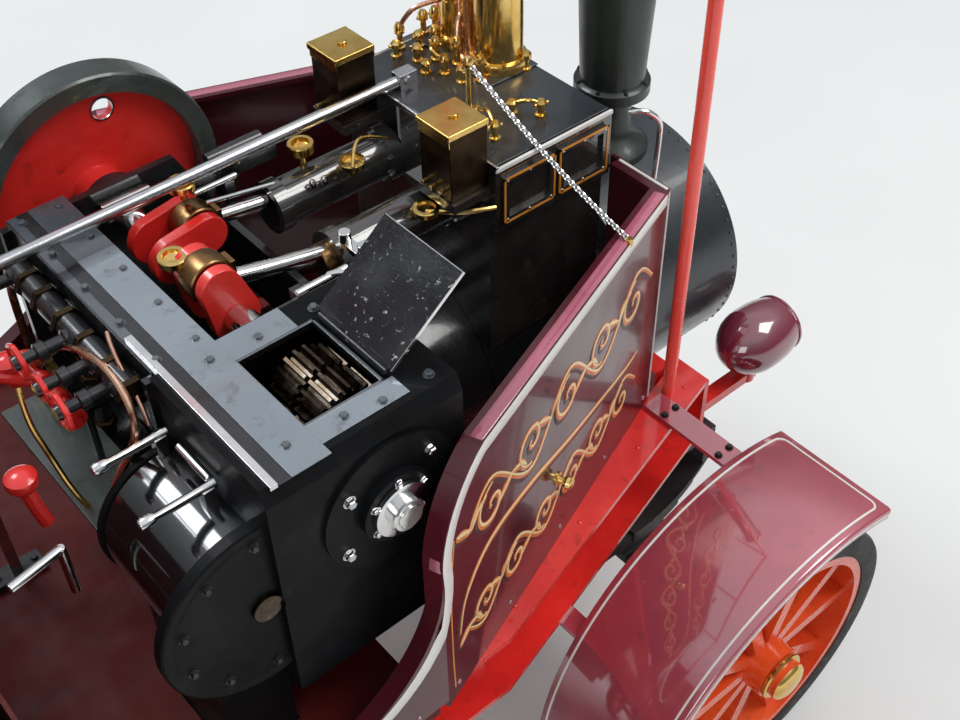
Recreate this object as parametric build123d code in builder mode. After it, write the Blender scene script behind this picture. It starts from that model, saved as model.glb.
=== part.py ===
from build123d import *
import math
import os

os.makedirs("parts", exist_ok=True)

# driving dimensions, millimetres. X forward, Y left, Z up, ground at Z 0.
# every offset along X is taken from the front axle, which lies at FX in the shared frame.
FX = 846.0
REAR_AXLE = -1257.0
FRONT_R = 144.0
REAR_R = 173.0
KINGPIN_Y = 247.0
RAIL_TOP = 332.0
RAIL_DEEP = 70.0
RAIL_WIDE = 36.0
RAIL_END = -1800.0
BOILER_Z = 375.0
BOILER_R = 92.0
SMOKEBOX_R = 112.0
CRANK_X = -308.0
CRANK_Z = 562.0
CRANK_THROW = 28.0
CYL_Z = 553.0
CYL_Y = 38.0
DECK_Z = 592.0
DRUM_X = -401.0
DRUM_Z = 494.0
OUT_X = -310.0
OUT_Z = 527.0
CAB_HALF = 258.0
PANEL_TOP = 553.0
PANEL_X0 = 14.0
PANEL_Y0 = 140.0
PANEL_BREAK = -304.0
PANEL_SPLAY = math.atan((CAB_HALF - PANEL_Y0) / (PANEL_X0 - PANEL_BREAK))
BED_Z = 384.0
BED_FRONT = -610.0
BED_REAR = -1862.0
BED_HALF = 355.0
BED_TOP = BED_Z + 12
HEADBOARD_TOP = 560.0
BOARD_Y = BED_HALF + 1
HINGE_Y = BED_HALF + 12
HINGE_Z = BED_Z - 1
BOARD_TOP = BED_Z + 102
RAIL_Y = 244.0
RAIL_FOOT = RAIL_TOP - RAIL_DEEP
GUARD_TOP = RAIL_TOP + 12
GUARD_R = GUARD_TOP - FRONT_R
FIT = 0.05
SIDES = (("left", 1.0), ("right", -1.0))


def side(y):
    return Plane(origin=(FX, y, 0), x_dir=(1, 0, 0), z_dir=(0, -1, 0))


def cross(x):
    return Plane(origin=(FX + x, 0, 0), x_dir=(0, 1, 0), z_dir=(1, 0, 0))


def level(z):
    return Plane(origin=(FX, 0, z), x_dir=(1, 0, 0), z_dir=(0, 0, 1))


def block(x0, x1, y0, y1, z0, z1, mode=Mode.ADD):
    with Locations((FX + (x0 + x1) / 2, (y0 + y1) / 2, (z0 + z1) / 2)):
        Box(abs(x1 - x0), abs(y1 - y0), abs(z1 - z0), mode=mode)


def disc_y(x, z, r, y0, y1, mode=Mode.ADD):
    with Locations((FX + x, (y0 + y1) / 2, z)):
        Cylinder(r, abs(y1 - y0), rotation=(90, 0, 0), mode=mode)


def disc_x(y, z, r, x0, x1, mode=Mode.ADD):
    with Locations((FX + (x0 + x1) / 2, y, z)):
        Cylinder(r, abs(x1 - x0), rotation=(0, 90, 0), mode=mode)


def disc_z(x, y, r, z0, z1, mode=Mode.ADD):
    with Locations((FX + x, y, (z0 + z1) / 2)):
        Cylinder(r, abs(z1 - z0), mode=mode)


def profile(plane, amount, segments, border=0.0, mode=Mode.ADD):
    with BuildSketch(plane) as outline:
        with BuildLine():
            for seg in segments:
                if len(seg) == 2:
                    Line(*seg)
                else:
                    ThreePointArc(*seg)
        make_face()
        if border:
            offset(amount=-border, mode=Mode.SUBTRACT)
    extrude(outline.sketch, amount=amount, mode=mode)


def ring_segments(points):
    return [(points[i], points[(i + 1) % len(points)]) for i in range(len(points))]


def link_y(xa, za, xb, zb, half, y0, y1):
    d = math.hypot(xb - xa, zb - za)
    nx = -(zb - za) / d * half
    nz = (xb - xa) / d * half
    corners = [(xa + nx, za + nz), (xb + nx, zb + nz), (xb - nx, zb - nz), (xa - nx, za - nz)]
    profile(side(y0), y0 - y1, ring_segments(corners))


def ring_y(x, z, r_out, r_in, y0, y1):
    with BuildSketch(side(y0)) as ring:
        with Locations((x, z)):
            Circle(r_out)
            Circle(r_in, mode=Mode.SUBTRACT)
    extrude(ring.sketch, amount=y0 - y1)


def plan(points, z0, z1, mode=Mode.ADD):
    profile(level(z0), z1 - z0, ring_segments(points), mode=mode)


# chassis rails: channels narrow beside the smokebox and splayed out to the cab
RAIL_OUT = ((64.0, 160.0), (-235.0, RAIL_Y), (RAIL_END, RAIL_Y))


def rail_strip(s, near, far, z0, z1):
    outer = [(x, s * (y - near)) for x, y in RAIL_OUT]
    inner = [(x, s * (y - far)) for x, y in reversed(RAIL_OUT)]
    plan(outer + inner, z0, z1)


for name, s in SIDES:
    with BuildPart() as rail:
        rail_strip(s, 0.0, RAIL_WIDE, RAIL_TOP - 5, RAIL_TOP)
        rail_strip(s, 0.0, RAIL_WIDE, RAIL_FOOT, RAIL_FOOT + 5)
        rail_strip(s, RAIL_WIDE - 5, RAIL_WIDE, RAIL_FOOT, RAIL_TOP)
    rail.part.label = "frame_rail_" + name
    export_step(rail.part, "parts/frame_rail_" + name + ".step")

RAIL_IN = RAIL_Y - RAIL_WIDE

# cross members, with the plate under the smokebox
with BuildPart() as cross_members:
    block(40, 58, -123.6, 123.6, RAIL_FOOT, RAIL_TOP)
    disc_x(0, BOILER_Z, SMOKEBOX_R + FIT, 30, 70, Mode.SUBTRACT)
    for x in (-640.0, -1000.0):
        disc_y(x, 318, 9, -RAIL_IN, RAIL_IN)
cross_members.part.label = "cross_members"
export_step(cross_members.part, "parts/cross_members.step")

# rear cross member with the drawbar jaw
with BuildPart() as drawbar_jaw:
    block(RAIL_END, RAIL_END + 8, -RAIL_IN, RAIL_IN, RAIL_FOOT, RAIL_TOP)
    for z in (282.0, 308.0):
        block(RAIL_END - 46, RAIL_END, -22, 22, z, z + 7)
    disc_z(RAIL_END - 28, 0, 6, 270, 330, Mode.SUBTRACT)
drawbar_jaw.part.label = "drawbar_jaw"
export_step(drawbar_jaw.part, "parts/drawbar_jaw.step")

# front axle beam with an eye for each kingpin
with BuildPart() as front_axle:
    block(-9, 9, 7 - KINGPIN_Y, KINGPIN_Y - 7, FRONT_R - 12, FRONT_R + 12)
    for y in (-KINGPIN_Y, KINGPIN_Y):
        disc_z(0, y, 14, FRONT_R - 20, FRONT_R + 20)
        disc_z(0, y, 6 + FIT, FRONT_R - 24, FRONT_R + 26, Mode.SUBTRACT)
    for y in (-150.0, 150.0):
        block(-22, 22, y - 13, y + 13, FRONT_R + 12, FRONT_R + 21)
front_axle.part.label = "front_axle"
export_step(front_axle.part, "parts/front_axle.step")

# leaf springs: columns are x of the axle, y, leaf half width, top of main leaf, its end height, half lengths
SPRINGS = (
    (0.0, 150.0, 11.0, FRONT_R + 41, RAIL_FOOT - 36, (84.0, 66.0, 48.0, 30.0)),
    (REAR_AXLE, 226.0, 13.0, REAR_R + 46, RAIL_FOOT - 7, (150.0, 122.0, 94.0, 66.0, 38.0)),
)
with BuildPart() as road_springs:
    for ax, y, half, top, end, lengths in SPRINGS:
        for s in (1.0, -1.0):
            k = (end - top) / lengths[0] ** 2
            for i, ln in enumerate(lengths):
                zt = top - 5 * i
                ze = zt + k * ln * ln
                with BuildSketch(side(s * y + half)):
                    with BuildLine():
                        ThreePointArc((ax - ln, ze), (ax, zt), (ax + ln, ze))
                        Line((ax + ln, ze), (ax + ln, ze - 5))
                        ThreePointArc((ax + ln, ze - 5), (ax, zt - 5), (ax - ln, ze - 5))
                        Line((ax - ln, ze - 5), (ax - ln, ze))
                    make_face()
                extrude(amount=2 * half)
            block(ax - 12, ax + 12, s * y - half - 2, s * y + half + 2, top - 8, top + 4)
    for s in (1.0, -1.0):
        block(40, 88, s * 139, s * 161, RAIL_FOOT - 10, RAIL_FOOT)
        block(76, 88, s * 139, s * 161, RAIL_FOOT - 42, RAIL_FOOT - 10)
        block(-90, -74, s * 139, s * 200, RAIL_FOOT - 10, RAIL_FOOT)
        block(-90, -76, s * 139, s * 161, RAIL_FOOT - 42, RAIL_FOOT - 10)
        for x in (-158.0, 142.0):
            block(REAR_AXLE + x, REAR_AXLE + x + 16, s * 213, s * 239, RAIL_FOOT - 16, RAIL_FOOT)
road_springs.part.label = "road_springs"
export_step(road_springs.part, "parts/road_springs.step")

# knuckles: fork, kingpin, stub axle and a rearward arm with the track rod pin
for name, s in SIDES:
    with BuildPart() as knuckle:
        for z in (FRONT_R - 32, FRONT_R + 20.3):
            disc_z(0, s * KINGPIN_Y, 13, z, z + 11.7)
            block(-13, 13, s * KINGPIN_Y, s * 267, z, z + 11.7)
        block(-14, 14, s * 262, s * 268, FRONT_R - 32, FRONT_R + 32)
        disc_z(0, s * KINGPIN_Y, 6, FRONT_R - 32, FRONT_R + 32)
        disc_y(0, FRONT_R, 10, s * 266, s * 338)
        block(-70, 0, s * (KINGPIN_Y - 6), s * (KINGPIN_Y + 6), FRONT_R - 40, FRONT_R - 32)
        disc_z(-70, s * KINGPIN_Y, 8, FRONT_R - 40, FRONT_R - 32)
        disc_z(-70, s * KINGPIN_Y, 4, FRONT_R - 53, FRONT_R - 39)
    knuckle.part.label = "knuckle_" + name
    export_step(knuckle.part, "parts/knuckle_" + name + ".step")

with BuildPart() as track_rod:
    block(-74, -66, 7 - KINGPIN_Y, KINGPIN_Y - 7, FRONT_R - 50, FRONT_R - 42)
    for y in (-KINGPIN_Y, KINGPIN_Y):
        disc_z(-70, y, 9, FRONT_R - 51, FRONT_R - 41)
        disc_z(-70, y, 4 + FIT, FRONT_R - 54, FRONT_R - 38, Mode.SUBTRACT)
track_rod.part.label = "track_rod"
export_step(track_rod.part, "parts/track_rod.step")

# front wheels: cast spokes, rubber tyre on the rim
for name, s in SIDES:
    with BuildPart() as front_wheel:
        ring_y(0, FRONT_R, FRONT_R - 24, FRONT_R - 33, s * 279, s * 322)
        with BuildSketch(side(s * 290)):
            with Locations((0, FRONT_R)):
                with PolarLocations(FRONT_R / 2 - 3, 10):
                    Rectangle(FRONT_R - 54, 12)
        extrude(amount=-s * 22)
        disc_y(0, FRONT_R, 25, s * 269.5, s * 330)
        disc_y(0, FRONT_R, 19, s * 330, s * 341)
        disc_y(0, FRONT_R, 10 + FIT, s * 260, s * 339, Mode.SUBTRACT)
    front_wheel.part.label = "front_wheel_" + name
    export_step(front_wheel.part, "parts/front_wheel_" + name + ".step")
    with BuildPart() as front_tyre:
        ring_y(0, FRONT_R, FRONT_R, FRONT_R - 24, s * 277, s * 324)
    front_tyre.part.label = "front_tyre_" + name
    export_step(front_tyre.part, "parts/front_tyre_" + name + ".step")

# rear axle: casing, differential and final drive sprocket
CHAIN_Y = -113.0
JACK_X = -415.0
JACK_Z = 275.0
with BuildPart() as rear_axle:
    disc_y(REAR_AXLE, REAR_R, 14, -359, 359)
    disc_y(REAR_AXLE, REAR_R, 48, -60, 60)
    disc_y(REAR_AXLE, REAR_R, 24, -200, 200)
    disc_y(REAR_AXLE, REAR_R, 78, CHAIN_Y - 4, CHAIN_Y + 4)
    for s in (1.0, -1.0):
        block(REAR_AXLE - 22, REAR_AXLE + 22, s * 213, s * 239, REAR_R + 5, REAR_R + 21)
rear_axle.part.label = "rear_axle"
export_step(rear_axle.part, "parts/rear_axle.step")

# rear wheels: one drum rim for the twin tyres
for name, s in SIDES:
    with BuildPart() as rear_wheel:
        ring_y(REAR_AXLE, REAR_R, REAR_R - 16, REAR_R - 26, s * 264, s * 350)
        with BuildSketch(side(s * 318)):
            with Locations((REAR_AXLE, REAR_R)):
                with PolarLocations((REAR_R + 3) / 2, 12):
                    Rectangle(REAR_R - 49, 15)
        extrude(amount=-s * 22)
        disc_y(REAR_AXLE, REAR_R, 34, s * 262, s * 354)
        disc_y(REAR_AXLE, REAR_R, 14 + FIT, s * 250, s * 356, Mode.SUBTRACT)
    rear_wheel.part.label = "rear_wheel_" + name
    export_step(rear_wheel.part, "parts/rear_wheel_" + name + ".step")
    with BuildPart() as rear_tyre:
        ring_y(REAR_AXLE, REAR_R, REAR_R, REAR_R - 16, s * 264, s * 304)
        ring_y(REAR_AXLE, REAR_R, REAR_R, REAR_R - 16, s * 310, s * 350)
        ring_y(REAR_AXLE, REAR_R, REAR_R - 13, REAR_R - 16, s * 303, s * 311)
    rear_tyre.part.label = "rear_tyre_" + name
    export_step(rear_tyre.part, "parts/rear_tyre_" + name + ".step")


def belt(x1, z1, r1, x2, z2, r2):
    d = math.hypot(x2 - x1, z2 - z1)
    phi = math.atan2(z2 - z1, x2 - x1)
    a = math.acos((r1 - r2) / d)
    p1 = (x1 + r1 * math.cos(phi + a), z1 + r1 * math.sin(phi + a))
    q1 = (x1 + r1 * math.cos(phi - a), z1 + r1 * math.sin(phi - a))
    p2 = (x2 + r2 * math.cos(phi + a), z2 + r2 * math.sin(phi + a))
    q2 = (x2 + r2 * math.cos(phi - a), z2 + r2 * math.sin(phi - a))
    m1 = (x1 - r1 * math.cos(phi), z1 - r1 * math.sin(phi))
    m2 = (x2 + r2 * math.cos(phi), z2 + r2 * math.sin(phi))
    return [(p1, p2), (p2, m2, q2), (q2, q1), (q1, m1, p1)]


with BuildPart() as drive_chain:
    outer = belt(JACK_X, JACK_Z, 32, REAR_AXLE, REAR_R, 84)
    inner = belt(JACK_X, JACK_Z, 26.2, REAR_AXLE, REAR_R, 78.2)
    profile(side(CHAIN_Y + 6), 12, outer)
    profile(side(CHAIN_Y + 7), 14, inner, mode=Mode.SUBTRACT)
drive_chain.part.label = "drive_chain"
export_step(drive_chain.part, "parts/drive_chain.step")

# boiler barrel, firebox and smokebox
with BuildPart() as boiler:
    disc_x(0, BOILER_Z, BOILER_R, -215, 28)
boiler.part.label = "boiler_barrel"
export_step(boiler.part, "parts/boiler_barrel.step")

with BuildPart() as firebox:
    disc_x(0, BOILER_Z, BOILER_R, -400, -215)
    block(-400, -215, -BOILER_R, BOILER_R, 215, BOILER_Z)
    block(-390, -225, -80, 80, 185, 215)
    block(-392, -240, -68, 68, 228, 420, Mode.SUBTRACT)
    disc_x(0, 388, 24, -402, -390, Mode.SUBTRACT)
firebox.part.label = "firebox"
export_step(firebox.part, "parts/firebox.step")

with BuildPart() as firehole_door:
    disc_x(0, 388, 29, -404.4, -400.4)
    block(-404.4, -400.4, 10, 36, 376, 400)
    disc_z(-404.7, 37, 4, 370, 406)
    disc_x(-18, 388, 4, -414, -404)
firehole_door.part.label = "firehole_door"
export_step(firehole_door.part, "parts/firehole_door.step")

with BuildPart() as smokebox:
    disc_x(0, BOILER_Z, SMOKEBOX_R, 28, 150)
    disc_x(0, BOILER_Z, SMOKEBOX_R - 6, 34, 144, Mode.SUBTRACT)
    disc_x(0, BOILER_Z, 90, 140, 152, Mode.SUBTRACT)
    disc_z(92, 0, 12, 460, 500, Mode.SUBTRACT)
smokebox.part.label = "smokebox"
export_step(smokebox.part, "parts/smokebox.step")

with BuildPart() as smokebox_door:
    with BuildSketch(Plane(origin=(FX, 0, BOILER_Z), x_dir=(1, 0, 0), z_dir=(0, -1, 0))):
        with BuildLine():
            Line((150.3, 0), (150.3, 98))
            Line((150.3, 98), (156, 98))
            ThreePointArc((156, 98), (168, 52), (172, 0))
            Line((172, 0), (150.3, 0))
        make_face()
    revolve(axis=Axis((FX, 0, BOILER_Z), (1, 0, 0)))
    disc_x(0, BOILER_Z, 6, 170, 184)
    disc_y(179, BOILER_Z, 3, -22, 22)
    for z in (345.0, 405.0):
        block(152, 158, 60, 109, z - 5, z + 5)
    disc_z(156, 109, 4.5, 335, 415)
smokebox_door.part.label = "smokebox_door"
export_step(smokebox_door.part, "parts/smokebox_door.step")

# chimney: saddle, neck, base ring and tapering barrel
CHIMNEY_OUT = ((34, 480), (34, 492), (20, 500), (17, 540), (32, 541), (32, 551), (27, 553))
with BuildPart() as chimney:
    with BuildSketch(Plane(origin=(FX + 92, 0, 0), x_dir=(1, 0, 0), z_dir=(0, -1, 0))):
        with BuildLine():
            Polyline(
                (11, 480), *CHIMNEY_OUT, (44, 880), (50, 884), (50, 898), (44, 902), (39, 902),
                (22, 560), (11, 550), close=True,
            )
        make_face()
    revolve(axis=Axis((FX + 92, 0, 0), (0, 0, 1)))
    disc_x(0, BOILER_Z, SMOKEBOX_R + FIT, 40, 145, Mode.SUBTRACT)
chimney.part.label = "chimney"
export_step(chimney.part, "parts/chimney.step")

# cylinder block with valve chests, trunk guides and the two oil box shelves
with BuildPart() as cylinder_block:
    block(-111, 2, -80, 88, 425, 556)
    block(-111, 2, -87, 21, 545, 600)
    block(-57, 2, 21, 97, 545, 600)
    for x in (-81.0, -28.0):
        with BuildSketch(side(-86)):
            with Locations((x, 572)):
                Rectangle(47, 38)
                Rectangle(39, 30, mode=Mode.SUBTRACT)
        extrude(amount=4)
    block(-146, -111, -84, -30, 578, 585)
    block(-146, -97, 44, 84, 578, 585)
    block(-111, -97, 44, 84, 550, 580)
    for y in (-CYL_Y, CYL_Y):
        disc_x(y, CYL_Z, 18, -221, -108)
        disc_x(y, CYL_Z, 20.5, -222, -211)
        disc_x(y, CYL_Z, 22, -122, -111)
    disc_x(0, BOILER_Z, BOILER_R + FIT, -120, 30, Mode.SUBTRACT)
    for y in (-CYL_Y, CYL_Y):
        disc_x(y, CYL_Z, 14, -240, -112, Mode.SUBTRACT)
cylinder_block.part.label = "cylinder_block"
export_step(cylinder_block.part, "parts/cylinder_block.step")

# crankshaft: columns are side, crank angle in degrees
CRANKS = ((CYL_Y, 15.0), (-CYL_Y, 105.0))
ROD_LONG = 100.0
with BuildPart() as crankshaft:
    disc_y(CRANK_X, CRANK_Z, 11, 57, 150)
    disc_y(CRANK_X, CRANK_Z, 11, -20, 20)
    disc_y(CRANK_X, CRANK_Z, 11, -184, -57)
    for y, deg in CRANKS:
        px = CRANK_X + CRANK_THROW * math.cos(math.radians(deg))
        pz = CRANK_Z + CRANK_THROW * math.sin(math.radians(deg))
        disc_y(px, pz, 9, y - 11, y + 11)
        for w in (y - 19.0, y + 10.0):
            disc_y(CRANK_X, CRANK_Z, 18, w, w + 9)
            disc_y(px, pz, 15, w, w + 9)
            link_y(CRANK_X, CRANK_Z, px, pz, 15.5, w, w + 9)
crankshaft.part.label = "crankshaft"
export_step(crankshaft.part, "parts/crankshaft.step")

with BuildPart() as connecting_rods:
    for y, deg in CRANKS:
        px = CRANK_X + CRANK_THROW * math.cos(math.radians(deg))
        pz = CRANK_Z + CRANK_THROW * math.sin(math.radians(deg))
        sx = px + math.sqrt(ROD_LONG ** 2 - (pz - CYL_Z) ** 2)
        disc_y(px, pz, 17, y - 9, y + 9)
        link_y(px, pz, sx, CYL_Z, 5.5, y - 6, y + 6)
        disc_x(y, CYL_Z, 13.7, sx - 10, sx + 26)
        disc_y(px, pz, 9.3, y - 12, y + 12, Mode.SUBTRACT)
connecting_rods.part.label = "connecting_rods"
export_step(connecting_rods.part, "parts/connecting_rods.step")

with BuildPart() as flywheel:
    ring_y(CRANK_X, CRANK_Z, 95, 80, 119, 146)
    disc_y(CRANK_X, CRANK_Z, 81, 129, 135)
    disc_y(CRANK_X, CRANK_Z, 20, 111, 148)
    disc_y(CRANK_X + 17, CRANK_Z + 62, 8, 120, 140, Mode.SUBTRACT)
    disc_y(CRANK_X, CRANK_Z, 11 + FIT, 100, 155, Mode.SUBTRACT)
flywheel.part.label = "flywheel"
export_step(flywheel.part, "parts/flywheel.step")

# horn plates carry the crankshaft over the firebox
with BuildPart() as horn_plates:
    for s in (1.0, -1.0):
        with BuildSketch(side(s * 92)):
            with BuildLine():
                Polyline(
                    (-395, 300), (-240, 300), (-228, 420), (-228, 520), (-262, 588), (-395, 588),
                    close=True,
                )
            make_face()
        extrude(amount=-s * 6)
    disc_y(CRANK_X, CRANK_Z, 24, 98, 109)
    block(-236, -230, -92, 92, 470, 524)
    block(-372, -366, -92, 92, 470, 520)
    disc_y(CRANK_X, CRANK_Z, 11 + FIT, -120, 120, Mode.SUBTRACT)
horn_plates.part.label = "horn_plates"
export_step(horn_plates.part, "parts/horn_plates.step")

with BuildPart() as crank_cover:
    block(-388, -347, -98, 98, 588, DECK_Z)
    block(-388, -384, -91, 91, 562, 588)
crank_cover.part.label = "crank_cover"
export_step(crank_cover.part, "parts/crank_cover.step")

# gear case: a decked box over the crank pinions, a bearing on its outer face and a round drum behind
HATCH = (-345.0, -291.0, -190.0, -122.0)
CASE_Y = 39.0 - CAB_HALF
CASE_FOOT = 400.0
with BuildPart() as gear_case:
    block(-392, -252, CASE_Y, -98, CASE_FOOT, DECK_Z)
    with BuildSketch(cross(-392)):
        with BuildLine():
            Polyline(
                (CASE_Y + 5, DECK_Z), (CASE_Y, 580), (CASE_Y - 1, 580), (CASE_Y - 1, DECK_Z), close=True,
            )
        make_face()
    extrude(amount=144, mode=Mode.SUBTRACT)
    disc_y(DRUM_X, DRUM_Z, 50, CASE_Y + 6, -105)
    disc_y(DRUM_X, DRUM_Z, 69, CASE_Y + 6, CASE_Y + 14)
    disc_y(OUT_X, OUT_Z, 50, CASE_Y - 3, CASE_Y + 1)
    disc_y(OUT_X, OUT_Z, 26, CASE_Y - 9, CASE_Y + 1)
    block(JACK_X - 25, JACK_X + 25, CASE_Y + 19, -122, RAIL_FOOT, 470)
    block(-388, -256, CASE_Y + 10, -102, CASE_FOOT + 4, 588, Mode.SUBTRACT)
    block(-388, -256, CASE_Y + 4, CASE_Y + 10, CASE_FOOT + 4, 576, Mode.SUBTRACT)
    disc_y(DRUM_X, DRUM_Z, 46, CASE_Y + 18, -109, Mode.SUBTRACT)
    block(HATCH[0], HATCH[1], HATCH[2], HATCH[3], 580, 600, Mode.SUBTRACT)
    disc_y(JACK_X, JACK_Z, 18, -122, -120)
    disc_y(CRANK_X, CRANK_Z, 11 + FIT, -110, -95, Mode.SUBTRACT)
    disc_y(OUT_X, OUT_Z, 12 + FIT, CASE_Y - 10, CASE_Y + 5, Mode.SUBTRACT)
    disc_y(DRUM_X, DRUM_Z, 10 + FIT, CASE_Y, -95, Mode.SUBTRACT)
gear_case.part.label = "gear_case"
export_step(gear_case.part, "parts/gear_case.step")

with BuildPart() as gears:
    disc_y(CRANK_X, CRANK_Z, 25, -178, -130)
    disc_y(CRANK_X, CRANK_Z, 11 + FIT, -200, -100, Mode.SUBTRACT)
    disc_y(DRUM_X, DRUM_Z, 10, CASE_Y + 3, -101)
    disc_y(DRUM_X, DRUM_Z, 44, -152, -132)
    disc_y(OUT_X, OUT_Z, 12, CASE_Y - 19, CASE_Y + 22)
    disc_y(OUT_X, OUT_Z, 22, CASE_Y + 10, CASE_Y + 22)
    disc_y(JACK_X, JACK_Z, 9, -120, -104)
    disc_y(JACK_X, JACK_Z, 26, CHAIN_Y - 4, CHAIN_Y + 4)
gears.part.label = "gears"
export_step(gears.part, "parts/gears.step")

# inspection lid of the gear case, thrown open forwards
LID_OPEN = math.radians(38.0)
LID_X = -285.0
LID_Z = 595.0
lid_plane = Plane(
    origin=(FX + LID_X, (HATCH[2] + HATCH[3]) / 2, LID_Z),
    x_dir=(math.cos(LID_OPEN), 0, math.sin(LID_OPEN)),
    z_dir=(-math.sin(LID_OPEN), 0, math.cos(LID_OPEN)),
)
with BuildPart() as gear_hatch_lid:
    with BuildSketch(lid_plane.offset(-0.3)):
        with Locations((38, 0)):
            Rectangle(72, 74)
    extrude(amount=3)
    disc_y(LID_X, LID_Z, 2.6, HATCH[2], HATCH[3])
    with BuildSketch(lid_plane.offset(-0.3)):
        with Locations((2, -20), (2, 20)):
            Rectangle(6, 14)
    extrude(amount=2.4)
gear_hatch_lid.part.label = "gear_hatch_lid"
export_step(gear_hatch_lid.part, "parts/gear_hatch_lid.step")

# oil boxes with brass lids
with BuildPart() as lubricators:
    for s in (1.0, -1.0):
        block(-145, -112, s * 47, s * 80, 585, 636)
        block(-147, -111.3, s * 45.5, s * 81.5, 636, 641)
lubricators.part.label = "lubricators"
export_step(lubricators.part, "parts/lubricators.step")

# safety valve column and its companion on the block
COLUMNS = ((-20.0, 14.0, 23.0, 19.0, 690.0), (-24.0, 60.0, 16.0, 12.0, 664.0))
with BuildPart() as safety_valves:
    block(-46, 1, -8, 78, 600, 604)
    for x, y, r_base, r_top, z_top in COLUMNS:
        disc_z(x, y, r_base, 604, 612)
        disc_z(x, y, r_top, 612, z_top)
        disc_z(x, y, r_top + 3, z_top - 14, z_top - 6)
safety_valves.part.label = "safety_valves"
export_step(safety_valves.part, "parts/safety_valves.step")

# reversing lever with its reach rod over the motion
with BuildPart() as reversing_gear:
    block(-484, -476, 34, 42, 340, 690)
    disc_z(-480, 38, 6, 690, 726)
    block(-477, -88, 35, 41, 606, 612)
    block(-96, -88, 34, 42, 556, 612)
    block(-500, -460, 30, 46, 340, 346)
reversing_gear.part.label = "reversing_gear"
export_step(reversing_gear.part, "parts/reversing_gear.step")

# steam manifold and valves on the backhead
VALVES = ((-70.0, 14.0), (-44.0, 11.0), (-14.0, 14.0), (64.0, 12.0))
with BuildPart() as backhead_fittings:
    disc_z(-394, 0, 5.8, 467, 576)
    disc_y(-399, 574, 9, -84, 76)
    for y, r in VALVES:
        disc_x(y, 574, 4, -436, -400)
        disc_x(y, 574, r, -442, -436)
    for y, z in ((-66.0, 430.0), (66.0, 430.0), (0.0, 446.0)):
        disc_x(y, z, 6, -430, -400)
        disc_x(y, z, 12, -435, -430)
    block(-446, -400, -88, 2, 476, 480)
    block(-406, -400, -66, -22, 434, 476)
backhead_fittings.part.label = "backhead_fittings"
export_step(backhead_fittings.part, "parts/backhead_fittings.step")

# change speed levers on the drum
LEVER_Z = DRUM_Z + 66
with BuildPart() as gear_levers:
    for y in (-166.0, -112.0):
        block(DRUM_X - 4, DRUM_X + 4, y - 4, y + 4, DRUM_Z + 50.05, LEVER_Z)
        disc_x(y, LEVER_Z, 3.5, DRUM_X - 44, DRUM_X + 6)
    disc_y(DRUM_X + 5, LEVER_Z, 3, -162, -128)
gear_levers.part.label = "gear_levers"
export_step(gear_levers.part, "parts/gear_levers.step")

# side panels: a splayed sheet beside the engine and a straight one with the cab doorway
PANEL_LONG = (PANEL_X0 - PANEL_BREAK) / math.cos(PANEL_SPLAY)


SPLAYED = (
    ((0, RAIL_TOP), (0, PANEL_TOP)),
    ((0, PANEL_TOP), (286, PANEL_TOP)),
    ((286, PANEL_TOP), (321, 532), (PANEL_LONG, 482)),
    ((PANEL_LONG, 482), (PANEL_LONG, RAIL_TOP)),
    ((PANEL_LONG, RAIL_TOP), (0, RAIL_TOP)),
)
DOORWAY = (
    ((PANEL_BREAK, 340), (PANEL_BREAK, 482)),
    ((PANEL_BREAK, 482), (-322, 414), (-372, 372)),
    ((-372, 372), (-450, 354), (-528, 372)),
    ((-528, 372), (-566, 402), (-582, 466)),
    ((-582, 466), (-582, 590)),
    ((-582, 590), (-600, 590)),
    ((-600, 590), (-600, 340)),
    ((-600, 340), (PANEL_BREAK, 340)),
)
for name, s in SIDES:
    splay_plane = Plane(
        origin=(FX + PANEL_X0, s * PANEL_Y0, 0),
        x_dir=(-math.cos(PANEL_SPLAY), s * math.sin(PANEL_SPLAY), 0),
        z_dir=(s * math.sin(PANEL_SPLAY), math.cos(PANEL_SPLAY), 0),
    )
    with BuildPart() as side_panel:
        profile(splay_plane, -s * 3, SPLAYED)
        profile(splay_plane, -s * 14, SPLAYED, border=4)
        profile(side(s * CAB_HALF), s * 3, DOORWAY)
        profile(side(s * CAB_HALF), s * 14, DOORWAY, border=4)
        block(11, 14, s * 80, s * 140, RAIL_TOP, PANEL_TOP)
        block(3, 14, s * 88, s * 138, PANEL_TOP - 4, PANEL_TOP)
        disc_x(0, BOILER_Z, 96, 2, 20, Mode.SUBTRACT)
    side_panel.part.label = "side_panel_" + name
    export_step(side_panel.part, "parts/side_panel_" + name + ".step")

# cab floor, back and bunker
with BuildPart() as cab_floor:
    block(-600, -402, -CAB_HALF, CAB_HALF, 332, 340)
    for s in (1.0, -1.0):
        block(-402, -312, s * 112, s * CAB_HALF, 332, 340)
    block(JACK_X - 26, JACK_X + 26, CASE_Y + 18, -110, 330, 342, Mode.SUBTRACT)
cab_floor.part.label = "cab_floor"
export_step(cab_floor.part, "parts/cab_floor.step")

SEAT_Z = 460.0
with BuildPart() as cab_back:
    block(-605, -600, -CAB_HALF, CAB_HALF, 332, 600)
    block(-600, -544, 22 - CAB_HALF, CAB_HALF - 22, 340, SEAT_Z)
    block(-597, -547, 25 - CAB_HALF, CAB_HALF - 25, 343, SEAT_Z + 2, Mode.SUBTRACT)
cab_back.part.label = "cab_back"
export_step(cab_back.part, "parts/cab_back.step")

with BuildPart() as driver_seat:
    block(-599, -540, 96, CAB_HALF - 22, SEAT_Z, SEAT_Z + 10)
driver_seat.part.label = "driver_seat"
export_step(driver_seat.part, "parts/driver_seat.step")

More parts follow.
